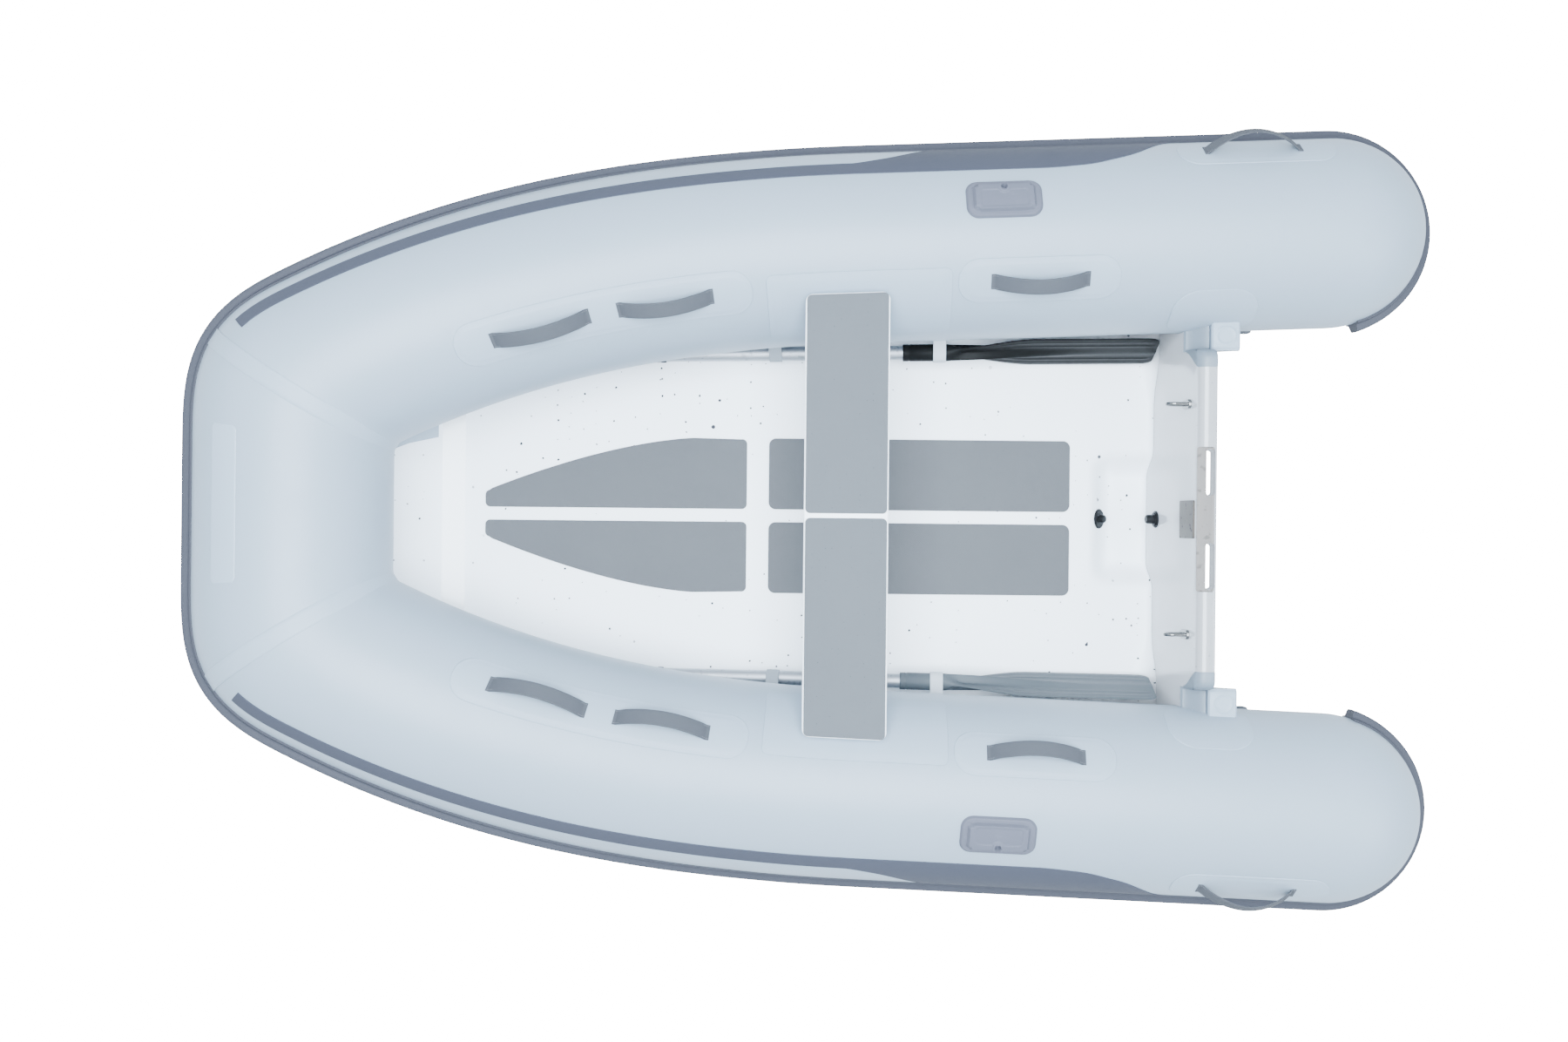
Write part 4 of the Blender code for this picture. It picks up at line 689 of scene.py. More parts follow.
def solid_mesh(name, solid, side=1, with_uvs=True, weld=None):
    """The mesh of a solid, with its faces turned outwards."""
    mesh = bpy.data.meshes.new(name)
    mesh.from_pydata([(p[0], p[1] * side, p[2]) for p in solid.points], [], solid.faces)
    if with_uvs:
        layer = mesh.uv_layers.new(name="UVMap")
        layer.data.foreach_set("uv", [value for pair in solid.uvs for value in pair])
    work = bmesh.new()
    work.from_mesh(mesh)
    if weld:
        bmesh.ops.remove_doubles(work, verts=work.verts, dist=weld)
    bmesh.ops.recalc_face_normals(work, faces=work.faces)
    work.to_mesh(mesh)
    work.free()
    return mesh


slot_of = {
    "patch_fabric": "tube_fabric", "label_fabric": "tube_fabric", "corner_shade_fabric": "tube_fabric",
    "transom_gelcoat": "gelcoat", "recess_steel": "transom_steel", "oar_plastic_grey": "oar_plastic",
    "strap_webbing_dark": "strap_webbing",
}


def make_piece(name, solid, finish, slot=None, side=1, body="boat", replaces=(), sharp=40):
    """The mesh object of a solid, with its material and the body it rides on; its slot is worked out but not
    stored.
    """
    mesh = solid_mesh(name, solid, side, weld=2e-6)
    mesh.shade_smooth()
    mesh.set_sharp_from_angle(angle=math.radians(sharp))
    mesh.materials.append(finishes[finish])
    return settle(add_object(name, mesh), slot or slot_of.get(finish, finish), body, replaces)


def make_pair(label, solid, finish, node=None, **more):
    """A port piece and its mirror image; node is the CAD piece that each of them stands for."""
    return [make_piece(f"{label}_{name}", solid, finish, side=side,
                       replaces=[f"{node}_{name}"] if node else (), **more)
            for name, side in SIDES.items()]


def settle(piece, slot, body="boat", replaces=()):
    if replaces:
        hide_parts(*replaces)
    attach(piece, body)
    return piece


def bake(piece):
    """Apply a piece's modifiers, so that its mesh is what is seen."""
    bpy.context.view_layer.update()
    graph = bpy.context.evaluated_depsgraph_get()
    mesh = bpy.data.meshes.new_from_object(piece.evaluated_get(graph))
    old = piece.data
    piece.modifiers.clear()
    piece.data = mesh
    bpy.data.meshes.remove(old)
    return piece


def cut_out(piece, solid):
    """Cut a solid out of a piece with a Boolean."""
    mesh = solid_mesh("cutter", solid, with_uvs=False)
    cutter = add_object("cutter", mesh)
    step = piece.modifiers.new("cut", "BOOLEAN")
    step.solver, step.object = "EXACT", cutter
    bake(piece)
    bpy.data.objects.remove(cutter)
    bpy.data.meshes.remove(mesh)
    return piece


print("pieces are made from Solid().grid, slab, loft and turned")

# %% [markdown]
# ## The three tubes
#
# The tubes are lofts: rings of points at close stations, skinned into one surface. The CAD model uses 24
# points a ring, which is enough for collisions. Here a ring has 96, so the outline and the highlights are
# smooth. Each side tube ends in the middle of the mitred bow corner, where the bow tube takes over, with an
# air-tight wall between them. The valves' pockets are cut with a Boolean, as in the CAD model.

# %% Loft the tubes
segments = 96
side_run = [dome_slice(1 - k / 24) for k in range(24)]
side_run += [side_slice(x) for x in spread(tail_x, bend_x, 12)]
side_run += [side_slice(x) for x in spread(bend_x, mitre_x, 56)[1:]]
mitre_steps = 40
corner_run = [mitre_slice(k / mitre_steps) for k in range(1, mitre_steps + 1)]
front_run = [bow_slice(y) for y in spread(mitre_pivot.y, 0, 8)][1:]


def tube_ring(piece, shift=Vector((0, 0, 0))):
    return [piece.at(math.tau * k / segments) + shift for k in range(segments)]


def mirrored(rings):
    return [[Vector((p.x, -p.y, p.z)) for p in ring] for ring in reversed(rings)]


seam = mitre_slice(0.5)
seam_way = Vector((seam.out.y, -seam.out.x, 0))
half_gap = seam_way * 0.00015
side_rings = [tube_ring(s) for s in side_run + corner_run[:mitre_steps // 2 - 1]]
side_rings.append(tube_ring(seam, -half_gap))
bow_rings = [tube_ring(seam, half_gap)] + [tube_ring(s) for s in corner_run[mitre_steps // 2:] + front_run]
bow_rings += mirrored(bow_rings[:-1])
around = spread(0, math.tau * tube_radius, segments + 1)[:-1]

valve_x, valve_angle = -0.95, math.radians(205)
bow_valve_y, bow_valve_angle = 0.07, math.radians(226)
pocket_radius, pocket_depth, pocket_over = 0.0154, 0.0384, 0.02
valve_spots = {}
for label, side in SIDES.items():
    stern, flip = side_slice(valve_x), Vector((1, side, 1))
    valve_spots[label] = (stern.at(valve_angle) * flip, stern.normal(valve_angle) * flip)
front = bow_slice(bow_valve_y)
valve_spots["bow"] = (front.at(bow_valve_angle), front.normal(bow_valve_angle))


def bore_profile(radius, depth, over):
    """The profile of a cutter that drills a round hole."""
    return ((0, -depth), (radius, -depth), (radius, over), (0, over))


def make_tube(label, rings, side=1):
    tube = make_piece(f"fine_{label}_tube", Solid().loft(rings, vs=around), "tube_fabric", side=side,
                      replaces=[f"{label}_tube"], sharp=60)
    point, way = valve_spots[label]
    place = Matrix.Translation(point) @ way.to_track_quat("Z", "Y").to_matrix().to_4x4()
    return cut_out(tube, Solid().turned(bore_profile(pocket_radius, pocket_depth, pocket_over), 48, place))


tubes = [make_tube("port", side_rings), make_tube("starboard", side_rings, -1), make_tube("bow", bow_rings)]
print({t.name: len(t.data.polygons) for t in tubes})

# %% [markdown]
# Where two tubes meet, the joint is covered by a tape of the same fabric. It is barely thicker than paper,
# and its slightly thicker edges are what the eye catches. The tape is a grid over the skin whose height
# comes from a formula: full height inside, falling to an eighth of it over the last millimetre.

# %% Seam tapes at the bow corners
def edge_height(inset, thickness, edge=0.0012):
    """The height of a bonded sheet at a distance in from its edge."""
    return thickness * (0.12 + 0.88 * ease(inset / edge))


def on_skin(rows, us=None, vs=None):
    """The sheet over rows of (slice, angles, heights), with its back close to the skin."""
    top = [[piece.at(a, skin_gap + h) for a, h in zip(angles, heights)] for piece, angles, heights in rows]
    bottom = [[piece.at(a, skin_gap * 0.5) for a in angles] for piece, angles, _ in rows]
    return Solid().slab(top, bottom, us, vs)


tape_width, tape_thickness = 0.038, 0.0009
turns = spread(math.radians(-62), math.radians(236), 120)
rows = []
for r in (-1, -0.97, -0.93, -0.5, 0, 0.5, 0.93, 0.97, 1):
    high = edge_height((1 - abs(r)) * tape_width / 2, tape_thickness)
    piece = Slice(seam.centre + seam_way * (r * tape_width / 2), seam.out, seam.half_width, seam.height)
    rows.append((piece, turns, [high] * len(turns)))
make_pair("seam_tape", on_skin(rows), "patch_fabric")
print("seam tapes cover the mitres")

# %% [markdown]
# ## Sheets bonded on the tubes
#
# Patches and the oarlocks' plinths are all sheets that lie on the skin. One function makes them from a
# rounded rectangle: it lays a grid over the skin, narrows its rows towards the rounded ends, and lifts each
# point by a height formula of its place and its distance from the edge. One formula gives a flat patch,
# another a patch with a pressed line, and another a plinth with a block on it.

# %% A rounded sheet on the skin
def corner_inset(distance, corner):
    """How far a rounded corner has drawn in the side, at a distance from the end."""
    if distance >= corner:
        return 0.0
    return corner - math.sqrt(max(corner ** 2 - (corner - distance) ** 2, 0))


def edge_distance(s, t, half_length, half_width, corner):
    """How far inside a rounded rectangle a point is."""
    qx, qy = abs(s) - half_length + corner, abs(t) - half_width + corner
    outside = math.hypot(max(qx, 0), max(qy, 0))
    return corner - outside - min(max(qx, qy), 0)


def skin_sheet(middle_x, half_length, middle_angle, half_width, corner, height, along=0.006, wide=26):
    """A rounded sheet on a side tube; height(inset, s, t) is how far its face stands off the skin."""
    near = [corner * share for share in (0, 0.01, 0.03, 0.07, 0.14, 0.24, 0.38, 0.55, 0.75, 1)]
    near = sorted(set(near + [0.0006, 0.0012, 0.002, 0.003]))
    inner = max(int((2 * half_length - 2 * corner) / along), 2)
    ends = near + spread(near[-1], 2 * half_length - near[-1], inner + 1)[1:-1]
    ends += [2 * half_length - d for d in reversed(near)]
    shares = spread(-1, 1, wide)
    rim_shares = [1 - d / half_width for d in (0.0005, 0.0011, 0.002, 0.0035)]
    shares = sorted(set(shares + rim_shares + [-s for s in rim_shares]))
    rows = []
    for distance in ends:
        s = half_length - distance
        reach = half_width - corner_inset(min(distance, 2 * half_length - distance), corner)
        ts = [share * reach for share in shares]
        heights = [height(edge_distance(s, t, half_length, half_width, corner), s, t) for t in ts]
        rows.append((side_slice(middle_x + s), [middle_angle + t / tube_radius for t in ts], heights))
    return on_skin(rows, [half_length - d for d in ends], [share * half_width for share in shares])


def flat_patch(thick):
    return lambda inset, s, t: edge_height(inset, thick)


def outlined_patch(thick=0.0014, line=0.009):
    """A patch with a second, pressed line a little in from its edge."""
    ridge = 0.0006

    def height(inset, s, t):
        groove = math.exp(-((inset - line) / 0.0012) ** 2)
        return edge_height(inset, thick) + ridge * ease((inset - line) / 0.002) - ridge * 0.8 * groove
    return height


print("sheets are made by skin_sheet(...) with a height formula")

# %% [markdown]
# ### Handles
#
# A handle is a loop of webbing whose ends are bonded on a patch. Each loop is a thin band with rounded edges,
# swept along an arch that follows the tube. The patches' outlines show only faintly in the photograph,
# because they are the tube's own colour, so their edges are modelled and left to the light.

# %% Patches and webbing loops
handle_length = 0.207
handle_arch, outer_arch = 0.037, 0.042
foot_share, outer_upright = 0.04, 0.35
inner_angle, outer_angle = math.radians(121), math.radians(38)
patch_half_width, patch_corner = 0.05, 0.045
webbing_half_width, webbing_half_thick = 0.017, 0.0015


def heading(path, k):
    """The direction of a path at one of its points."""
    return (path[min(k + 1, len(path) - 1)] - path[max(k - 1, 0)]).normalized()


def band_section(half_width, half_thick):
    """The outline of a flat band with round edges, as (across, off) pairs."""
    return [(sign * (half_width - half_thick + half_thick * math.cos(t)), sign * half_thick * math.sin(t))
            for sign in (1, -1) for t in spread(-math.pi / 2, math.pi / 2, 6)]


def swept_band(path, across_ways, half_width, half_thick):
    """A flat band along a path; across_ways is its width's direction at each point."""
    section = band_section(half_width, half_thick)
    flats = [section[0]]
    for a, b in zip(section, section[1:] + section[:1]):
        if abs(a[0] - b[0]) > half_width:
            flats += [(a[0] + (b[0] - a[0]) * k / 8, a[1] + (b[1] - a[1]) * k / 8) for k in range(1, 8)]
        flats.append(b)
    section = flats[:-1]
    rings = []
    for k, point in enumerate(path):
        wide = across_ways[k].normalized()
        off = heading(path, k).cross(wide).normalized()
        rings.append([point + wide * w + off * h for w, h in section])
    vs = Solid().lengths([Vector((w, h, 0)) for w, h in section])
    return Solid().loft(rings, vs=vs)


def handle_path(x, angle, arch, upright, sink=0.0016):
    """The arch of a webbing loop, from one foot to the other; its middle may turn upright."""
    path, ways = [], []
    for share in spread(0, 1, 61):
        rise = (share - foot_share) / (1 - 2 * foot_share)
        bow = math.sin(math.pi * rise) if 0 < rise < 1 else 0
        piece = side_slice(x + handle_length * (0.5 - share))
        path.append(piece.at(angle, skin_gap + sink + arch * bow ** 0.8))
        ways.append(piece.tangent(angle).normalized().lerp(UP, upright * bow))
    return path, ways


handle_sets = {
    "forward": (0.47, 0.315, inner_angle, {"handle_forward": 0.608, "handle_middle": 0.343}),
    "aft": (-0.452, 0.17, inner_angle, {"handle_aft": -0.454}),
    "outer": (-0.928, 0.1675, outer_angle, {"handle_outer": -0.920}),
}
handle_lines = []
for label, (middle, half_length, angle, loops) in handle_sets.items():
    sheet = skin_sheet(middle, half_length, angle, patch_half_width, patch_corner, outlined_patch())
    make_pair(f"handle_patch_{label}", sheet, "patch_fabric")
    arch, upright = (outer_arch, outer_upright) if label == "outer" else (handle_arch, 0)
    for node, x in loops.items():
        path, ways = handle_path(x, angle, arch, upright)
        loop = swept_band(path, ways, webbing_half_width, webbing_half_thick)
        make_pair(f"{node}_loop", loop, "webbing", node)
        handle_lines.append((path, ways))
print("handles:", 2 * len(handle_lines), "webbing loops")

# %% [markdown]
# ### Oarlock plinths
#
# The plinth is the same kind of sheet with a taller formula: a low rim, a raised block with its own rounded
# corners, and a hole for the oarlock's pin. All three are written as heights, so no Boolean is needed.

# %% Oarlock plinths
oarlock_x = -0.380
oarlock_angle = math.radians(72.5)
pin_across = -math.radians(5.8) * tube_radius
plinth_half_length, plinth_half_width, plinth_corner = 0.0795, 0.0425, 0.026
block_shape, block_height = (0.0635, 0.030, 0.013), 0.008
dish_shape, dish_depth, dish_across = (0.050, 0.019, 0.009), 0.0012, 0.004
hole_radius, hole_depth, collar_radius, collar_height = 0.0048, 0.0115, 0.0115, 0.0012


def oarlock_height(inset, s, t):
    """A rim, a block with a shallow dish in it, and a collar round the pin's hole."""
    rim = 0.0008 + 0.0052 * ease(inset / 0.005)
    block = block_height * ease(edge_distance(s, t, *block_shape) / 0.0035)
    dish = dish_depth * ease(edge_distance(s, t - dish_across, *dish_shape) / 0.002)
    away = math.hypot(s, t - pin_across)
    collar = collar_height * ease((collar_radius - away) / 0.0015)
    hole = hole_depth * (1 - ease((away - hole_radius) / 0.0016))
    return rim + block - dish * ease((away - 0.013) / 0.003) + collar - hole


plinth = skin_sheet(oarlock_x, plinth_half_length, oarlock_angle, plinth_half_width, plinth_corner,
                    oarlock_height, along=0.0014, wide=64)
make_pair("oarlock_plinth", plinth, "oarlock_rubber", "oarlock_base")
print("oarlock plinths at x =", oarlock_x)

# %% [markdown]
# ### Stripes
#
# A dark stripe runs along each side and ends aft in a broad swept shape. Its two edges are tables of angles
# against distance, and the sheet is laid between them.

# %% Side stripes
swoosh_start, swoosh_length = -0.07, 0.69
strake_half_width = 0.038
strake_half_angle = strake_half_width / tube_radius
strake_top = strake_half_angle + 0.003 / tube_radius
stripe_low, stripe_high = math.radians(40), math.radians(50.5)
low_table = ((0, stripe_low), (0.12, stripe_low * 0.83), (0.2, stripe_low * 0.6), (0.28, strake_top),
             (1, strake_top))
high_table = ((0, stripe_high), (0.61, stripe_high), (0.74, stripe_high * 0.95), (0.87, stripe_high * 0.77),
              (0.95, stripe_high * 0.5), (1, strake_top * 1.15))


def soft_table(table, share):
    """Read a table with a rounded course between its points, which never overshoots them."""
    width, total = 0.035, 0.0
    for k in range(-3, 4):
        here = min(max(share + width * k / 3, 0), 1)
        for (s0, v0), (s1, v1) in zip(table, table[1:]):
            if here <= s1:
                total += v0 + (v1 - v0) * (here - s0) / (s1 - s0)
                break
    return total / 7


def side_stripe():
    xs = spread(swoosh_start - swoosh_length, swoosh_start, 140) + spread(bend_x, mitre_x, 90)
    xs = sorted(set(x for x in xs if x <= swoosh_start or x > swoosh_start + 0.004))
    run = [(side_slice(x), (swoosh_start - x) / swoosh_length) for x in xs]
    run += [(mitre_slice(0.375 * k / 16), 0) for k in range(1, 17)]
    rows = []
    for piece, share in run:
        share = max(share, 0)
        low, high = soft_table(low_table, share), soft_table(high_table, share)
        wide = (high - low) * tube_radius
        rim = min(0.0008, wide / 4) / wide
        shares = [0, rim, *spread(0.12, 0.88, 9), 1 - rim, 1]
        heights = [0.0002, 0.0011] + [0.0012] * 9 + [0.0011, 0.0002]
        rows.append((piece, [low + (high - low) * s for s in shares], heights))
    return on_skin(rows)


make_pair("fine_stripe", side_stripe(), "stripe_fabric", "side_stripe")
print("stripes are laid")

# %% [markdown]
# ## The rub strake, shaped by a rule
#
# The strake is a moulded bumper that runs round the whole boat. Its shape is one section, the same all the
# way: two thin flanges, a raised body between them, and fine ridges along the body. That is a rule, so
# Geometry Nodes can hold it. A plain band is laid along the tubes first, and each of its points carries
# three numbers: how far across the band it is, whether it is on the outer face, and which way is out. The
# node tree then lifts the outer face by a formula, and its inputs are the section's sizes.

# %% A Geometry Nodes tree with named inputs
class RuleTree(Tree):
    """A modifier's node tree: geometry in, named numbers in, geometry out."""

    def __init__(self, name, numbers):
        super().__init__(bpy.data.node_groups.new(name, "GeometryNodeTree"))
        face = self.tree.interface
        face.new_socket(name="Geometry", in_out="INPUT", socket_type="NodeSocketGeometry")
        self.keys = {}
        for label, value in numbers.items():
            kind = "NodeSocketInt" if isinstance(value, int) else "NodeSocketFloat"
            item = face.new_socket(name=label, in_out="INPUT", socket_type=kind)
            item.default_value = value
            self.keys[label] = item.identifier
        self.keys["Material"] = face.new_socket(name="Material", in_out="INPUT",
                                                socket_type="NodeSocketMaterial").identifier
        face.new_socket(name="Geometry", in_out="OUTPUT", socket_type="NodeSocketGeometry")
        self.ins = self.node("NodeGroupInput")
        self.given = {item.name: Wire(self, item) for item in self.ins.outputs if item.name}

    def attribute(self, name, kind="FLOAT"):
        made = self.node("GeometryNodeInputNamedAttribute", {"data_type": kind}, {"Name": name})
        return self.out(made, "Attribute")

    def finish(self, geometry):
        """Every tree ends by making its instances real and giving them their material."""
        real = self.node("GeometryNodeRealizeInstances", inputs={"Geometry": geometry})
        painted = self.node("GeometryNodeSetMaterial", inputs={
            "Geometry": self.out(real), "Material": self.given["Material"]})
        self.node("NodeGroupOutput", inputs={"Geometry": self.out(painted)})
        return self

    def apply(self, piece, finish, **numbers):
        """Put the tree on a piece, set its inputs by their sockets' names, and bake it."""
        step = piece.modifiers.new(self.tree.name, "NODES")
        step.node_group = self.tree
        step[self.keys["Material"]] = finishes[finish]
        for label, value in numbers.items():
            step[self.keys[label.replace("_", " ").title()]] = value
        return bake(piece)


strake_rule = RuleTree("strake section", {"Flange": 0.004, "Body": 0.021, "Ridge Depth": 0.0012,
                                          "Ridges": 3})
body_share, ridge_share = 0.66, 0.45  # of the band's half width
t = strake_rule
across, out, top = t.attribute("across"), t.attribute("out", "FLOAT_VECTOR"), t.attribute("top")
size = abs(across)
flange = t.given["Flange"] * (0.35 + 0.65 * t.ramp(1.0 - size, 0.0, 0.06))
shoulder = t.ramp(body_share - size, 0.0, 0.20)
crown = 1.0 - (size / body_share) ** 2.0 * 0.12
wave = 0.5 - 0.5 * t.math("COSINE", across * t.given["Ridges"] * (math.pi / ridge_share))
ridges = wave * t.ramp(ridge_share - size, 0.0, 0.04) * t.given["Ridge Depth"]
height = flange + t.given["Body"] * shoulder * crown - ridges
lifted = t.node("ShaderNodeVectorMath", {"operation": "SCALE"}, {0: out, "Scale": height * top})
moved = t.node("GeometryNodeSetPosition", inputs={
    "Geometry": t.given["Geometry"], "Offset": t.out(lifted)})
strake_rule.finish(t.out(moved))
print("strake rule inputs:", list(strake_rule.keys))

# %% Lay the band and lift it
strake_lift = math.radians(15)
strake_wrap = math.radians(165)
wrap_steps = 64


def strake_band():
    wrap = [tail_slice(strake_wrap * (1 - k / wrap_steps)) for k in range(wrap_steps)]
    run = wrap + side_run[24:] + corner_run + front_run
    shares = sorted(set(spread(-1, 1, 49) + [-0.985, 0.985, -0.95, 0.95, -0.6, 0.6, -0.5, 0.5]))
    rows = {"top": [], "low": []}
    ways = {"top": [], "low": []}
    for piece in run:
        lift = strake_lift * ease(piece.centre.x / bow_x)
        angles = [lift + s * strake_half_angle for s in shares]
        rows["top"].append([piece.at(a, 0.0006) for a in angles])
        rows["low"].append([piece.at(a, 0.0002) for a in angles])
        for key in ways:
            ways[key].append([piece.normal(a) for a in angles])
    for key in rows:
        rows[key] += mirrored(rows[key][:-1])
        ways[key] += mirrored(ways[key][:-1])
    solid = Solid().slab(rows["top"], rows["low"])
    across = [s for _ in range(2) for row in rows["top"] for s in shares]
    tops = [1.0 if key == "top" else 0.0 for key in ("top", "low") for row in rows[key] for _ in row]
    outs = [way for key in ("top", "low") for row in ways[key] for way in row]
    mesh = solid_mesh("fine_strake", solid)
    for name, values in (("across", across), ("top", tops)):
        mesh.attributes.new(name, "FLOAT", "POINT").data.foreach_set("value", values)
    mesh.attributes.new("out", "FLOAT_VECTOR", "POINT").data.foreach_set(
        "vector", [value for way in outs for value in way])
    return add_object("fine_strake", mesh)


strake = strake_rule.apply(strake_band(), "strake_rubber", body=0.0155, ridge_depth=0.0010)
strake.data.shade_smooth()
strake.data.set_sharp_from_angle(angle=math.radians(50))
settle(strake, "strake_rubber", replaces=["rub_strake"])
print("strake:", len(strake.data.polygons), "faces")

# %% [markdown]
# ## Seat
#
# The bench is a folded, coated board with rounded edges that rests on the tubes. Two non-skid pads cover it,
# and a patch on each tube carries its end. Rounded outlines come from one function that puts an arc on
# every corner. A pad is then that outline, stacked: up its side, over a small rounded edge, and flat on top.

# %% Bench, pads and the patches under them
def round_corners(corners, radius, steps=8):
    outline = []
    for k, corner in enumerate(corners):
        here = Vector(corner)
        before = (Vector(corners[k - 1]) - here).normalized()
        after = (Vector(corners[(k + 1) % len(corners)]) - here).normalized()
        half = before.angle(after) / 2
        centre = here + (before + after).normalized() * (radius / math.sin(half))
        start = here + before * (radius / math.tan(half)) - centre
        sweep = start.angle_signed(here + after * (radius / math.tan(half)) - centre)
        for i in range(steps + 1):
            spoke = start.copy()
            spoke.rotate(Matrix.Rotation(-sweep * i / steps, 2))
            outline.append(tuple(centre + spoke))
    return outline


def rounded_box(x0, y0, x1, y1, radius, steps=8):
    return round_corners([(x0, y0), (x1, y0), (x1, y1), (x0, y1)], radius, steps)


def inset_outline(outline, distance):
    """Move a flat outline inwards along its own corners."""
    moved, count = [], len(outline)
    area = sum(a[0] * b[1] - b[0] * a[1] for a, b in zip(outline, outline[1:] + outline[:1]))
    turn = 1 if area > 0 else -1
    for k in range(count):
        a, b, c = (Vector(outline[(k + d) % count]) for d in (-1, 0, 1))
        first, second = (b - a).normalized(), (c - b).normalized()
        normal = Vector((-(first.y + second.y), first.x + second.x)).normalized() * turn
        reach = distance / max(math.sqrt((1 + first.dot(second)) / 2), 0.5)
        moved.append(tuple(b + normal * reach))
    return moved


def stacked(outline, levels):
    """Rings of an outline at (inset, height) pairs."""
    return [[Vector((x, y, z)) for x, y in (inset_outline(outline, inset) if inset else outline)]
            for inset, z in levels]


def pad_levels(low, thick, edge):
    """Levels for stacked: a chamfered foot, a side and a rounded upper edge."""
    arc = [(edge * (1 - math.cos(t)), low + thick - edge + edge * math.sin(t))
           for t in spread(0, math.pi / 2, 6)]
    return [(0.0004, low), (0, low + 0.0004)] + arc


pad_thickness = 0.003


def lay_pads(node, outline, low, edge, finish):
    """A foam pad on each side."""
    solid = Solid().loft(stacked(outline, pad_levels(low, pad_thickness, edge)))
    for pad in make_pair(f"fine_{node}", solid, finish, node):
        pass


seat_top, seat_depth = 0.489, 0.028
seat_fore, seat_aft = 0.033, -0.143
half_fore, half_aft = 0.460, 0.4674
nose, seat_corner, seat_wall = 0.003, 0.016, 0.003
pad_margin, pad_side, pad_middle = 0.003, 0.002, 0.005
seat_patch = (-0.0725, 0.1975, math.radians(136), 0.0863, 0.014)
wedge_inner, wedge_outer = 0.398, 0.455


def seat_ring(inset, z):
    fore, aft = seat_fore - inset, seat_aft + inset
    corners = [(fore, -half_fore + inset), (fore, half_fore - inset), (aft, half_aft - inset),
               (aft, -half_aft + inset)]
    return [Vector((x, y, z)) for x, y in round_corners(corners, max(seat_corner - inset, 0.003))]


turns = spread(0, math.pi / 2, 9)
rings = [seat_ring(nose * (1 - math.cos(a)), seat_top - nose + nose * math.sin(a))
         for a in reversed(turns)]
rings += [seat_ring(0, seat_top - seat_depth), seat_ring(seat_wall, seat_top - seat_depth)]
rings += [seat_ring(seat_wall, seat_top - 0.008), seat_ring(0.010, seat_top - 0.004)]
make_piece("fine_seat_bench", Solid().loft(rings), "seat_coating", replaces=["seat_bench"], sharp=50)

pad_corners = [(seat_fore - pad_margin, pad_middle), (seat_fore - pad_margin, half_fore - pad_side),
               (seat_aft + pad_margin, half_aft - pad_side), (seat_aft + pad_margin, pad_middle)]
lay_pads("seat_pad", round_corners(pad_corners, 0.010), seat_top + fit_gap, 0.0012, "seat_pad_foam")
make_pair("seat_patch", skin_sheet(*seat_patch, outlined_patch(0.0016, 0.012)), "patch_fabric", "seat_saddle")
top, bottom = [], []
ys = spread(wedge_inner, wedge_outer, 9)
for x in spread(seat_fore - 0.008, seat_aft + 0.008, 25):
    piece = side_slice(x)
    top.append([Vector((x, y, seat_top - seat_depth - fit_gap)) for y in ys])
    away = [(piece.centre.y - y) * piece.out.y for y in ys]
    bottom.append([Vector((x, y, piece.centre.z + math.sqrt((tube_radius + 0.0022) ** 2 - d ** 2)))
                   for y, d in zip(ys, away)])
make_pair("seat_wedge", Solid().slab(top, bottom), "patch_fabric")
print("seat:", seat_top, "m above the ground")

# %% [markdown]
# ## The deck
#
# The deck is one moulded tray: flat amidships, up at the bow, and down into a sump at the transom. The CAD
# model steps through these shapes in flat facets. Here the formulas are read at many stations. The sump's
# bends are rounded by averaging over a short stretch, and the rise at the bow eases in and out. Where deck
# and transom meet, the mould leaves a cove, which is wider in the corners. The bung's hole is cut last.

# %% Deck
deck_height, deck_thickness = 0.11, 0.005
transom_foot, rake = -0.777, math.atan(0.1143)
sump_fore, sump_face, sump_half, sump_side, sump_depth = -0.642, 0.034, 0.15, 0.04, 0.045
shoulder_angle = math.radians(238)
narrow_x, stem_x = 0.70, 1.065
rise_start, rise_run, rise_height = 0.78, 0.26, 0.082
drain_bore = 0.0138


def transom_x(z, off=0.0):
    return transom_foot - (z - deck_height) * math.tan(rake) - off / math.cos(rake)


def soft_step(value, softness=0.3):
    """A straight ramp from 0 to 1 with rounded ends."""
    return sum(min(max(value + d * softness, 0), 1) for d in (-1, -0.7, -0.35, 0, 0.35, 0.7, 1)) / 7


def deck_edge(x):
    """Half the deck's width."""
    run = max(x + 0.03 - narrow_x, 0) / (stem_x - narrow_x)
    wall = centre_y(x) + tube_radius * math.cos(shoulder_angle) - 0.008
    return wall * math.sqrt(max(1 - run ** 3, 0)) * 0.995 - 0.001


def deck_top(x, y):
    sump = soft_step((sump_fore - x) / sump_face) * soft_step((sump_half - abs(y)) / sump_side)
    rise = min(max((x - rise_start) / rise_run, 0), 1)
    rise = rise ** 3 * (rise * (rise * 6 - 15) + 10)
    return deck_height + rise_height * rise - sump_depth * sump


def cove(y):
    """The cove's radius: small along the sump, wider towards the corners."""
    return 0.012 + 0.032 * ease((abs(y) - 0.27) / 0.10) * ease((0.50 - abs(y)) / 0.08)


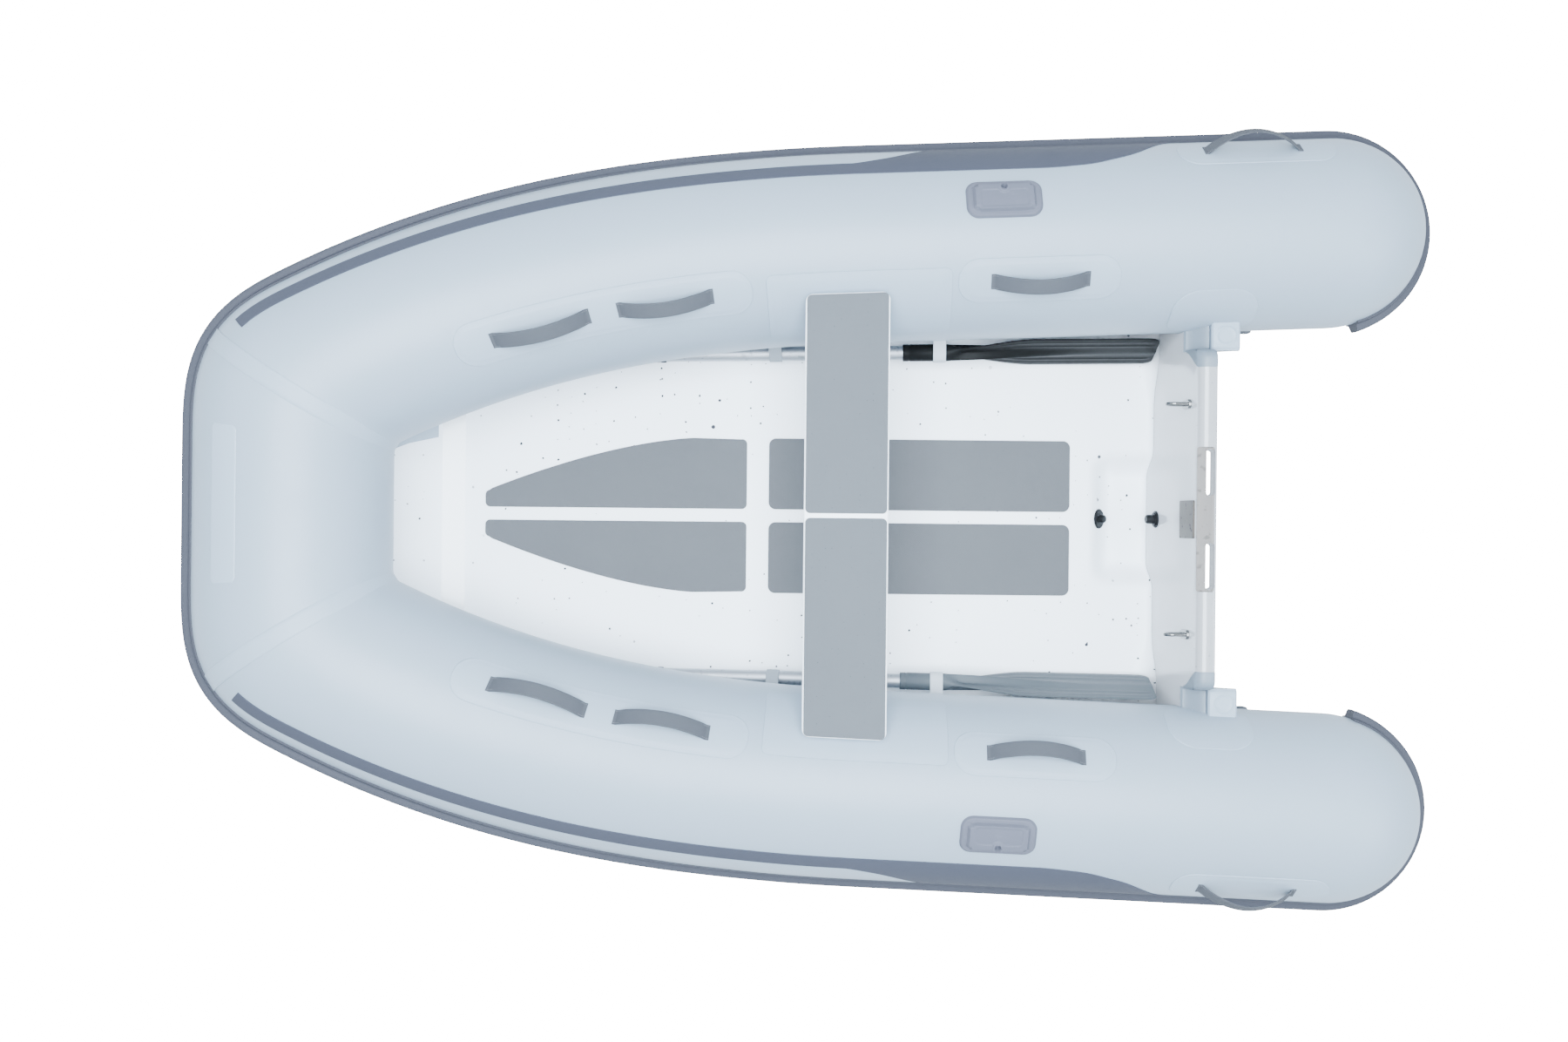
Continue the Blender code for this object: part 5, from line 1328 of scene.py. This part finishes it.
def make_deck():
    widest = deck_edge(sump_fore)
    columns = spread(-widest, -0.2, 10) + spread(-0.2, 0.2, 81)[1:-1] + spread(0.2, widest, 10)
    top, low = [], []
    for turn in spread(0, math.pi / 2, 9):
        upper, under = [], []
        for y in columns:
            base, reach = deck_top(transom_foot + 0.02, y), cove(y)
            z = base + reach * (1 - math.sin(turn))
            x = transom_x(z) + 0.0005 + reach * (1 - math.cos(turn))
            upper.append(Vector((x, y, z)))
            sole = base - deck_thickness
            under.append(Vector((max(x, transom_x(sole) + 0.0005), y, sole)))
        top.append(upper)
        low.append(under)
    xs = spread(-0.722, -0.60, 50) + spread(-0.60, rise_start, 40)[1:] + spread(rise_start, 1.03, 60)[1:]
    for x in xs:
        ys = [y * deck_edge(x) / widest for y in columns]
        top.append([Vector((x, y, deck_top(x, y))) for y in ys])
        low.append([Vector((x, y, deck_top(x, y) - deck_thickness)) for y in ys])
    deck = make_piece("fine_deck", Solid().slab(top, low), "gelcoat", replaces=["deck_panel"], sharp=50)
    slope = Vector((-sump_depth, 0, sump_face)).normalized()
    place = Matrix.Translation((sump_fore - sump_face / 2, 0, deck_height - sump_depth / 2))
    place = place @ Matrix.Rotation(math.atan2(slope.x, slope.z), 4, "Y")
    return cut_out(deck, Solid().turned(bore_profile(drain_bore, 0.02, 0.02), 32, place))


deck = make_deck()
print("deck:", len(deck.data.polygons), "faces")

# %% [markdown]
# In the bow corner to starboard the end of a sealing tape has come up on to the deck. It is a thin sheet
# between the deck's edge and a line inside it.

# %% Tape end in the bow corner
tape_inner = ((0.872, 0.174), (0.931, 0.158), (0.9625, 0.1436))


def tape_line(x):
    """Where the tape's free edge runs."""
    for (x0, y0), (x1, y1) in zip(tape_inner, tape_inner[1:]):
        if x <= x1:
            return y0 + (y1 - y0) * (x - x0) / (x1 - x0)
    return tape_inner[-1][1]


top, bottom = [], []
for x in spread(tape_inner[0][0], tape_inner[-1][0], 31):
    inner, outer = tape_line(x), deck_edge(x) - 0.0005
    ys = spread(min(inner, outer - 0.004), outer, 9)
    top.append([Vector((x, -y, deck_top(x, y) + (0.0006 if k == 0 else 0.0014))) for k, y in enumerate(ys)])
    bottom.append([Vector((x, -y, deck_top(x, y) + 0.0001)) for y in ys])
make_piece("tape_end", Solid().slab(top, bottom), "label_fabric")
print("tape end covers", len(top), "rows")

# %% Deck pads
pad_inner, pad_outer = 0.015, 0.179
aft_pad_fore, aft_pad_aft, fore_pad_aft = 0.110, -0.587, 0.161
curve_start, tip_x, tip_outer = 0.27, 0.766, 0.052
aft_pad = round_corners([(aft_pad_fore, pad_inner), (aft_pad_fore, pad_outer), (aft_pad_aft, pad_outer),
                         (aft_pad_aft, pad_inner)], 0.016)
tip_curve = [(curve_start + (tip_x - curve_start) * share, pad_outer - (pad_outer - tip_outer) * share ** 1.6)
             for share in spread(0, 1, 33)[1:-1]]
tip_corners = [(tip_x, tip_outer), (tip_x, pad_inner), (fore_pad_aft, pad_inner), (fore_pad_aft, pad_outer)]
fore_pad = tip_curve + round_corners(tip_corners, 0.011)
for node, outline in (("deck_pad_aft", aft_pad), ("deck_pad_forward", fore_pad)):
    lay_pads(node, outline, deck_height + fit_gap, 0.0011, "deck_pad_foam")
print("deck pads are laid")

# %% [markdown]
# ## The transom
#
# The transom is a raked board with a softly rounded inner edge, so that its face and its top run into each
# other. It is a loft from the inner face to the outer one: the rings' outlines are nearly the same, but the
# height of their tops follows a quarter circle. The recess, the two hand slots and the drain's bore are cut
# afterwards, as in the CAD model.

# %% Transom and the liner of its recess
transom_height, transom_half, transom_deep = 0.40, 0.3655, 0.040
top_round, aft_round = 0.020, 0.005
transom_corner = 0.022
keel_half, keel_top, chine_in, chine_height = 0.045, 0.0053, 0.105, 0.066
recess_floor, recess_aft, recess_half, plate_thickness = 0.388, -0.8449, 0.155, 0.0025
slot_aft, slot_fore, slot_inner, slot_outer, slot_low = -0.8455, -0.8290, 0.050, 0.152, 0.084
cutter_fore, cutter_top = -0.70, 0.43
drain_height = 0.142


def transom_drop(depth):
    """How far the top has fallen at a depth from the inner face."""
    if depth < top_round:
        return top_round - math.sqrt(top_round ** 2 - (top_round - depth) ** 2)
    rest = max(depth - transom_deep + aft_round, 0)
    return aft_round - math.sqrt(aft_round ** 2 - rest ** 2)


def transom_ring(depth):
    top, corner = transom_height - transom_drop(depth), transom_corner
    side = side_slice(transom_x(0.3, depth))
    half = [(0, keel_top), (keel_half, keel_top), (centre_y(transom_foot) - chine_in, chine_height)]
    for angle in spread(math.radians(256), math.radians(176), 24):
        point = side.at(angle, 0.0012)
        half.append((point.y, point.z))
    half += [(transom_half, 0.305)]
    half += [(transom_half - corner * (1 - math.cos(a)), top - corner * (1 - math.sin(a)))
             for a in spread(0, math.pi / 2, 9)]
    half.append((0, top))
    port = [Vector((transom_x(z, depth), y, z)) for y, z in half]
    return port + [Vector((p.x, -p.y, p.z)) for p in reversed(port[1:-1])]


def upright(outline, low, high):
    """The solid over a flat outline between two heights."""
    return Solid().loft([[Vector((x, y, z)) for x, y in outline] for z in (low, high)])


def raked_place(height, y):
    """A point on the transom's inner face, with +Z into the boat and +Y to port."""
    return Matrix.Translation((transom_x(height), y, height)) @ Matrix.Rotation(math.pi / 2 - rake, 4, "Y")


def slot_outline(side):
    outline = rounded_box(slot_aft, slot_inner, slot_fore, slot_outer, 0.0078, steps=6)
    return [(x, y * side) for x, y in outline]


depths = [top_round * (1 - math.cos(a)) for a in spread(0, math.pi / 2, 10)]
depths += [transom_deep - aft_round * (1 - math.sin(a)) for a in spread(0, math.pi / 2, 5)]
transom = make_piece("fine_transom", Solid().loft([transom_ring(d) for d in depths]), "transom_gelcoat",
                     replaces=["transom_panel"], sharp=35)
recess = rounded_box(recess_aft, -recess_half, cutter_fore, recess_half, 0.005)
cut_out(transom, upright(recess, recess_floor, cutter_top))
cut_out(transom, Solid().turned(bore_profile(drain_bore, 0.06, 0.02), 32, raked_place(drain_height, 0)))
plate_half, plate_floor = recess_half - fit_gap, recess_floor + fit_gap
plate_outline = rounded_box(recess_aft + fit_gap, -plate_half, transom_x(recess_floor) - fit_gap, plate_half,
                            0.004)
plate = make_piece("fine_top_plate", upright(plate_outline, plate_floor, plate_floor + plate_thickness),
                   "recess_steel", replaces=["transom_top_plate"], sharp=30)
for side in SIDES.values():
    for piece in (transom, plate):
        cut_out(piece, upright(slot_outline(side), slot_low, cutter_top))
print("transom:", len(transom.data.polygons), "faces")

# %% [markdown]
# ## Transom corners and eyes
#
# A rubberised sheet wraps each top corner of the transom, and a flap with a pressed oval bead ties the
# corner to the tube. The sheet, and the filler between transom and tube, are a dark fabric that is painted
# shade, where the corner lies in shadow. The sheet follows the transom's own profile, a paper's thickness
# above it: up the inner face, over the rounded edge and across the top. The lifting eyes are bent round bar
# on a small foot.

# %% Flaps and corner sheets
def tube_face_y(piece, z):
    """Where a tube's inner face stands at a height."""
    chord = math.sqrt((tube_radius + 0.0006) ** 2 - (z - piece.centre.z) ** 2)
    return piece.centre.y - chord / piece.out.y


def gusset(label, finish, fore, aft, fore_high, aft_high, bead_size=0.0, wedge=0.0, node=None):
    """The filling between transom and tube, with rounded edges and an oval bead pressed in its top."""
    low, inner, wide = 0.312, 0.3658, 0.040
    top, bottom = [], []
    for r in spread(0, 1, 61):
        x = fore + (aft - fore) * r
        piece = side_slice(x)
        under = low + wedge * ease(r)
        row_top, row_low = [], []
        for c in spread(0, 1, 41):
            s, t = (r - 0.5) * (fore - aft), (c - 0.5) * wide
            bead = math.exp(-((math.hypot(s / 0.020, t / 0.012) - 1) / 0.16) ** 2) * bead_size
            edge = min(r, 1 - r) * (fore - aft)
            rounding = 0.004 * (1 - ease(edge / 0.004)) + 0.004 * (1 - ease(c * wide / 0.005))
            z = fore_high + (aft_high - fore_high) * ease(r) - rounding + bead
            row_top.append(Vector((x, inner + (tube_face_y(piece, z) - inner) * c, z)))
            row_low.append(Vector((x, inner + (tube_face_y(piece, under) - inner) * c, under)))
        top.append(row_top)
        bottom.append(row_low)
    make_pair(label, Solid().slab(top, bottom), finish, node)


def corner_sheet():
    """A sheet over the transom's profile; it starts at a point low on the inner face and widens upwards."""
    upright_rows, corner = 12, transom_corner
    path = [(z, 0.0) for z in spread(0.325, transom_height - top_round, upright_rows)]
    path += [(transom_height - transom_drop(d), d) for d in depths[1:]]
    top, bottom = [], []
    for k, (z, depth) in enumerate(path):
        on_top = k >= upright_rows
        reach = 0.004 + 0.036 * ease(min(k / 14, 1))
        high, low = [], []
        for c in spread(0, 1, 15):
            y = transom_half + 0.0006 - reach * (1 - c)
            fall = max(y - transom_half + corner, 0)
            round_off = corner - math.sqrt(max(corner ** 2 - fall ** 2, 0)) if on_top else 0
            lift = 0.0010 * ease((1 - abs(2 * c - 1)) / 0.12) + 0.0003
            face_z = z - round_off + lift * on_top
            high.append(Vector((transom_x(face_z, depth) + lift * (k < 14), y, face_z)))
            low.append(Vector((transom_x(face_z, depth) - 0.002 * (not on_top), y, face_z - 0.003 * on_top)))
        top.append(high)
        bottom.append(low)
    # Its dark fabric is painted shade.
    make_pair("corner_sheet", Solid().slab(top, bottom), "corner_shade_fabric")


collar_shape = (-0.832, 0.092, math.radians(152), 0.076, 0.058)
gusset("flap", "patch_fabric", -0.846, -0.908, 0.362, 0.362, 0.0013, 0.030, "transom_gusset")
# The filler's dark fabric is painted shade in the corner between transom and tube.
gusset("corner_filler", "corner_shade_fabric", -0.797, -0.8465, 0.318, 0.350)
corner_sheet()
make_pair("transom_collar", skin_sheet(*collar_shape, flat_patch(0.0018)), "patch_fabric")
print("flaps join transom and tubes")

# %% Lifting eyes
def swept_bar(path, radius, sides=24):
    """A round bar along a path in the XZ plane."""
    rings, wide = [], Vector((0, 1, 0))
    for k, point in enumerate(path):
        off = heading(path, k).cross(wide)
        rings.append([point + (wide * math.cos(a) + off * math.sin(a)) * radius
                      for a in spread(0, math.tau, sides + 1)[:-1]])
    return rings


def place_rings(rings, place):
    return [[place @ p for p in ring] for ring in rings]


eye_loop, eye_foot, eye_reach, foot_thick = 0.0155, 0.0125, 0.047, 0.006
bar_radius, bar_start = 0.0038, 0.0036
legs = eye_reach - foot_thick - eye_loop
arc = [Vector((eye_loop * math.cos(a), 0, foot_thick + legs + eye_loop * math.sin(a)))
       for a in spread(0, math.pi, 33)]
eye_path = [Vector((eye_loop, 0, bar_start)), Vector((eye_loop, 0, 0.010))] + arc
eye_path += [Vector((-eye_loop, 0, 0.010)), Vector((-eye_loop, 0, bar_start))]
foot_half, foot_side = eye_loop + eye_foot / 2, 0.010
eye_height, eye_y = 0.335, 0.25
place = raked_place(eye_height, eye_y)
foot_outline = rounded_box(-foot_half, -foot_side, foot_half, foot_side, 0.0087)
foot = stacked(foot_outline, pad_levels(fit_gap, foot_thick, 0.002))
solid = Solid().loft(place_rings(foot, place))
solid.loft(place_rings(swept_bar(eye_path, bar_radius), place))
make_pair("fine_lifting_eye", solid, "marine_steel", "lifting_eye")
print("eyes on the transom")

# %% [markdown]
# ## Oars
#
# Each oar lies along the inner side of its tube, held by two loops of webbing. Everything on an oar is built
# along its own axis and then placed by one matrix. The blade grows out of a round socket: each section is a
# blend from a circle to a flat plate, with long ribs that stand up from it.

# %% Shafts, grips and blades
oar_neck = (-0.276, 0.3748, 0.1733)
oar_yaw, oar_pitch = math.radians(0.6), math.radians(3.3)
oar_place = (Matrix.Translation(oar_neck) @ Matrix.Rotation(-oar_yaw, 4, "Z")
             @ Matrix.Rotation(oar_pitch, 4, "Y"))
oar_frame = oar_place @ Matrix.Rotation(-math.radians(16.5), 4, "X")
shaft_radius, socket_radius = 0.016, 0.0195
grip_reach, blade_length, blade_half = 0.745, 0.47, 0.073
blade_half_thick, spine_half_thick = 0.0025, 0.0045
tip_reach, tip_start, tip_run = 0.487, 0.94, 0.06
neck = -tip_reach + blade_length
along_x = Matrix.Rotation(math.pi / 2, 4, "Y")


def blade_rings():
    widths = spread(-1, 1, 61)
    angles = [math.pi * (1 - (j + 0.5) / len(widths)) for j in range(len(widths))]
    rings = []

    def ring(x, face):
        rings.append([oar_frame @ Vector((x, t, w)) for w, t in face + [(w, -t) for w, t in reversed(face)]])

    mouth = neck + 0.10
    for x, radius in ((mouth, 0.0178), (mouth - 0.0006, 0.0190), (mouth - 0.002, socket_radius),
                      (mouth - 0.012, socket_radius), (mouth - 0.013, 0.0188), (mouth - 0.016, 0.0188),
                      (mouth - 0.017, socket_radius)):
        ring(x, [(radius * math.cos(a), radius * math.sin(a)) for a in angles])
    for share in spread(0, 1, 90):
        grow = ease(share / 0.42)
        half = socket_radius + (blade_half - socket_radius) * grow
        if share > tip_start:
            half *= 1 - 0.22 * (1 - math.sqrt(max(1 - ((share - tip_start) / tip_run) ** 2, 0)))
        spine = socket_radius + (spine_half_thick - socket_radius) * ease(share / 0.8)
        flat = ease(share / 0.1)
        face = []
        for w, a in zip(widths, angles):
            plate = blade_half_thick + (spine - blade_half_thick) * ease(1 - abs(w) / 0.35)
            ribs = math.exp(-((abs(w) - 0.5) / 0.05) ** 2) + math.exp(-((abs(w) - 0.78) / 0.045) ** 2) * 0.7
            plate += 0.0015 * ribs * ease((share - 0.16) / 0.12) * ease((0.985 - share) / 0.02)
            plate *= math.sqrt(max(1 - abs(w) ** 16, 0.01))
            round_w, round_t = socket_radius * math.cos(a), socket_radius * math.sin(a)
            face.append((round_w + (w * half - round_w) * flat, round_t + (plate - round_t) * flat))
        ring(neck - blade_length * share, face)
    return rings


shaft_profile = [(0, neck + 0.036), (shaft_radius, neck + 0.036), (shaft_radius, grip_reach - 0.018),
                 (0, grip_reach - 0.018)]
grip_start = grip_reach - 0.12
grip_profile = [(0, grip_reach - 0.0177), (0.0163, grip_reach - 0.0177), (0.0163, grip_start),
                (0.0174, grip_start), (0.0182, grip_start + 0.002)]
for k in range(9):
    x = grip_start + 0.012 + k * 0.0105
    waist = 0.0182 - 0.0012 * math.sin(math.pi * k / 8)
    grip_profile += [(waist, x), (waist - 0.0008, x + 0.0015), (waist - 0.0008, x + 0.0035),
                     (waist, x + 0.005)]
grip_profile += [(0.0185, grip_reach - 0.012), (0.0180, grip_reach - 0.005), (0.0150, grip_reach - 0.001),
                 (0.012, grip_reach), (0, grip_reach)]
shaft = Solid().turned(shaft_profile, 48, oar_frame @ along_x)
grip = Solid().turned(grip_profile, 48, oar_frame @ along_x)
blade = Solid().loft(blade_rings())
for name, side in SIDES.items():
    plastic = "oar_plastic_grey" if side == 1 else "oar_plastic"
    for part, solid, finish, sharp in (("shaft", shaft, "oar_aluminium", 40), ("grip", grip, plastic, 40),
                                       ("blade", blade, plastic, 50)):
        make_piece(f"fine_{part}_{name}", solid, finish, side=side, body=f"{name}_oar",
                   replaces=[f"oar_{part}_{name}"], sharp=sharp)
print("oars reach", round(grip_reach + tip_reach, 3), "m")

# %% [markdown]
# The straps are teardrop loops: round the oar on the far side, and pinched together where they are bonded to
# the tube. The band's width lies along the oar, so its direction is the same at every point of the loop.

# %% Straps that hold the oars
strap_angle = math.radians(204)
strap_clearance, strap_half_width, strap_half_thick = 0.0005, 0.0145, 0.0011
pinch = 0.0014


def oar_strap(label, distance, radius, finish):
    middle = oar_place @ Vector((distance, 0, 0))
    ahead = (oar_place.to_3x3() @ Vector((1, 0, 0))).normalized()
    anchor = side_slice(middle.x).at(strap_angle, skin_gap + 2 * strap_half_thick)
    up_way = anchor - middle
    up_way -= ahead * up_way.dot(ahead)
    reach = up_way.length
    up_way.normalize()
    side_way = ahead.cross(up_way)
    loop = radius + strap_clearance + strap_half_thick
    wrap = math.acos(min((radius + strap_clearance) / reach, 1)) * 0.92
    path = [middle + up_way * (reach - 0.003) + side_way * pinch]
    path += [middle + (up_way * math.cos(a) + side_way * math.sin(a)) * loop
             for a in spread(wrap, math.tau - wrap, 49)]
    path += [middle + up_way * (reach - 0.003) - side_way * pinch]
    solid = swept_band(path, [ahead] * len(path), strap_half_width, strap_half_thick)
    make_pair(f"strap_loop_{label}", solid, finish, f"oar_strap_{label}", sharp=60)
    plate = skin_sheet(middle.x, 0.025, strap_angle, 0.027, 0.006, flat_patch(0.0022), wide=14)
    make_pair(f"strap_plate_{label}", plate, "patch_fabric", slot="strap_webbing")


fore_strap_x = 0.096
fore_distance = (fore_strap_x - oar_neck[0]) / (math.cos(oar_yaw) * math.cos(oar_pitch))
oar_strap("aft", 0.0, socket_radius, "strap_webbing")
oar_strap("forward", fore_distance, shaft_radius, "strap_webbing_dark")
print("each oar has an aft and a forward strap")

# %% [markdown]
# ## Stitches
#
# Stitches are the same small shape again and again at even steps along a line, which is just what Geometry
# Nodes is for. The tree turns a line of points into a curve, steps along it at the stitch's pitch, and puts
# a slim ellipsoid at each step, turned to point along the line.

# %% A row of stitches
stitch_rule = RuleTree("stitch row", {"Pitch": 0.004, "Length": 0.0026, "Thickness": 0.0005})
t = stitch_rule
line = t.node("GeometryNodeMeshToCurve", inputs={"Mesh": t.given["Geometry"]})
steps = t.node("GeometryNodeResampleCurve", {"mode": "LENGTH"},
               {"Curve": t.out(line), "Length": t.given["Pitch"]})
ball = t.node("GeometryNodeMeshUVSphere", inputs={"Segments": 8, "Rings": 6, "Radius": 0.5})
slim = t.node("GeometryNodeTransform", inputs={
    "Geometry": t.out(ball, "Mesh"),
    "Scale": t.join(t.given["Length"], t.given["Thickness"], t.given["Thickness"])})
way = t.out(t.node("GeometryNodeInputTangent"))
turned_to = t.node("FunctionNodeAlignRotationToVector", {"axis": "X"}, {"Vector": way})
placed = t.node("GeometryNodeInstanceOnPoints", inputs={
    "Points": t.out(steps), "Instance": t.out(slim), "Rotation": t.out(turned_to)})
stitch_rule.finish(t.out(placed))


def stitch_rows(name, rows, side, pitch):
    """One piece with a stitch row along each line of points."""
    points, edges = [], []
    for row in rows:
        first = len(points)
        points += [(p.x, p.y * side, p.z) for p in row]
        edges += [(first + k, first + k + 1) for k in range(len(row) - 1)]
    mesh = bpy.data.meshes.new(name)
    mesh.from_pydata(points, edges, [])
    piece = stitch_rule.apply(add_object(name, mesh), "thread", pitch=pitch)
    piece.data.shade_smooth()
    settle(piece, "webbing")


stitch_across, stitch_off, stitch_pitch = 0.0135, 0.0016, 0.0034
feet = (range(1, 5), range(56, 60))  # points of a loop's path near its two ends
rows = []
for path, ways in handle_lines:
    for foot in feet:
        for w in (-stitch_across, stitch_across):
            row = []
            for k in foot:
                off = heading(path, k).cross(ways[k]).normalized()
                off = off if off.dot(UP) > 0 else -off
                row.append(path[k] + ways[k] * w + off * stitch_off)
            rows.append(row)
for name, side in SIDES.items():
    stitch_rows(f"handle_stitches_{name}", rows, side, stitch_pitch)
print("stitch rows on each side:", len(rows))

# %% [markdown]
# ## The bow patch
#
# A plain rectangular patch lies across the top of the bow tube. It is left bare.

# %% Bow patch
corner_angle = math.atan2(side_slice(mitre_x).out.y, side_slice(mitre_x).out.x)


def front_slice(y):
    """A slice of the bow, which runs on into the mitred corners."""
    beyond = abs(y) - mitre_pivot.y
    if beyond <= 0:
        return bow_slice(y)
    piece = mitre_slice(1 - beyond / (corner_angle * (mitre_gap + tube_radius)))
    if y > 0:
        return piece
    flip = Vector((1, -1, 1))
    return Slice(piece.centre * flip, piece.out * flip, piece.half_width, piece.height)


half_length, half_width, corner, middle_angle = 0.151, 0.0325, 0.010, math.radians(65)
patch_shift = -0.009
near = [0, 0.0003, 0.001, 0.002, 0.0035, 0.0055, 0.008, corner]
ends = near + spread(corner, 2 * half_length - corner, 60)[1:-1]
ends += [2 * half_length - d for d in reversed(near)]
rows = []
for distance in ends:
    s = half_length - distance
    reach = half_width - corner_inset(min(distance, 2 * half_length - distance), corner)
    shares = sorted({-1, -0.97, -0.9, 0.9, 0.97, 1, *spread(-0.8, 0.8, 11)})
    insets = [edge_distance(s, k * reach, half_length, half_width, corner) for k in shares]
    angles = [middle_angle + k * reach / tube_radius for k in shares]
    rows.append((front_slice(s + patch_shift), angles, [edge_height(inset, 0.001) for inset in insets]))
make_piece("bow_patch", on_skin(rows), "label_fabric")
print("bow patch is bare")

# %% [markdown]
# ## Finishes for the pieces that stay
#
# The pieces that weren't built again keep their CAD shape. Each takes its material by name.

# %% Give the CAD nodes their finishes
kept = {
    "hull_shell": "hull_gelcoat", "hull_frames": "raw_laminate", "keel_strip": "keel_rubber",
    "motor_pad": "transom_steel", "bow_tow_eye": "marine_steel", "transom_drain": "drain_plastic",
    "hull_drain_bung": "drain_rubber", "valve_": "valve_plastic",
}
plain = []
for name, node in nodes.items():
    if node.hide_render:
        continue
    finish = next((value for key, value in kept.items() if name.startswith(key)), None)
    plain += [] if finish else [name]
    for place in node.material_slots:
        place.material = finishes[finish or "tube_fabric"]
print("kept nodes without a finish of their own:", plain)

# %% [markdown]
# ## The floor
#
# The boat stands on white, with no shadow in sight. A floor that only reflects would turn grey, so this one
# answers the camera with a plain white glow, and everything else with the light that a matt white floor
# throws back. That is what a studio's floor looks like once the film is bright enough to burn it out.

# %% Floor, sizes and finish
f = Finish("studio floor")
f.set(colour=(0.6, 0.6, 0.6, 1), roughness=0.9, specular=0.0)
glow = f.node("ShaderNodeEmission", inputs={"Color": (1, 1, 1, 1), "Strength": burnt_out})
rays = f.out(f.node("ShaderNodeLightPath"), "Is Camera Ray")
seen = f.node("ShaderNodeMixShader", inputs={0: rays})
output = f.tree.nodes["Material Output"]
f.tree.links.new(f.shader.outputs[0], seen.inputs[1])
f.tree.links.new(glow.outputs[0], seen.inputs[2])
f.tree.links.new(seen.outputs[0], output.inputs["Surface"])
floor_half = 9
floor_mesh = bpy.data.meshes.new("floor")
floor_mesh.from_pydata([(x * floor_half, y * floor_half, 0) for x, y in ((-1, -1), (1, -1), (1, 1), (-1, 1))],
                       [], [(0, 1, 2, 3)])
floor_mesh.materials.append(f.material)
floor = add_object("floor", floor_mesh)
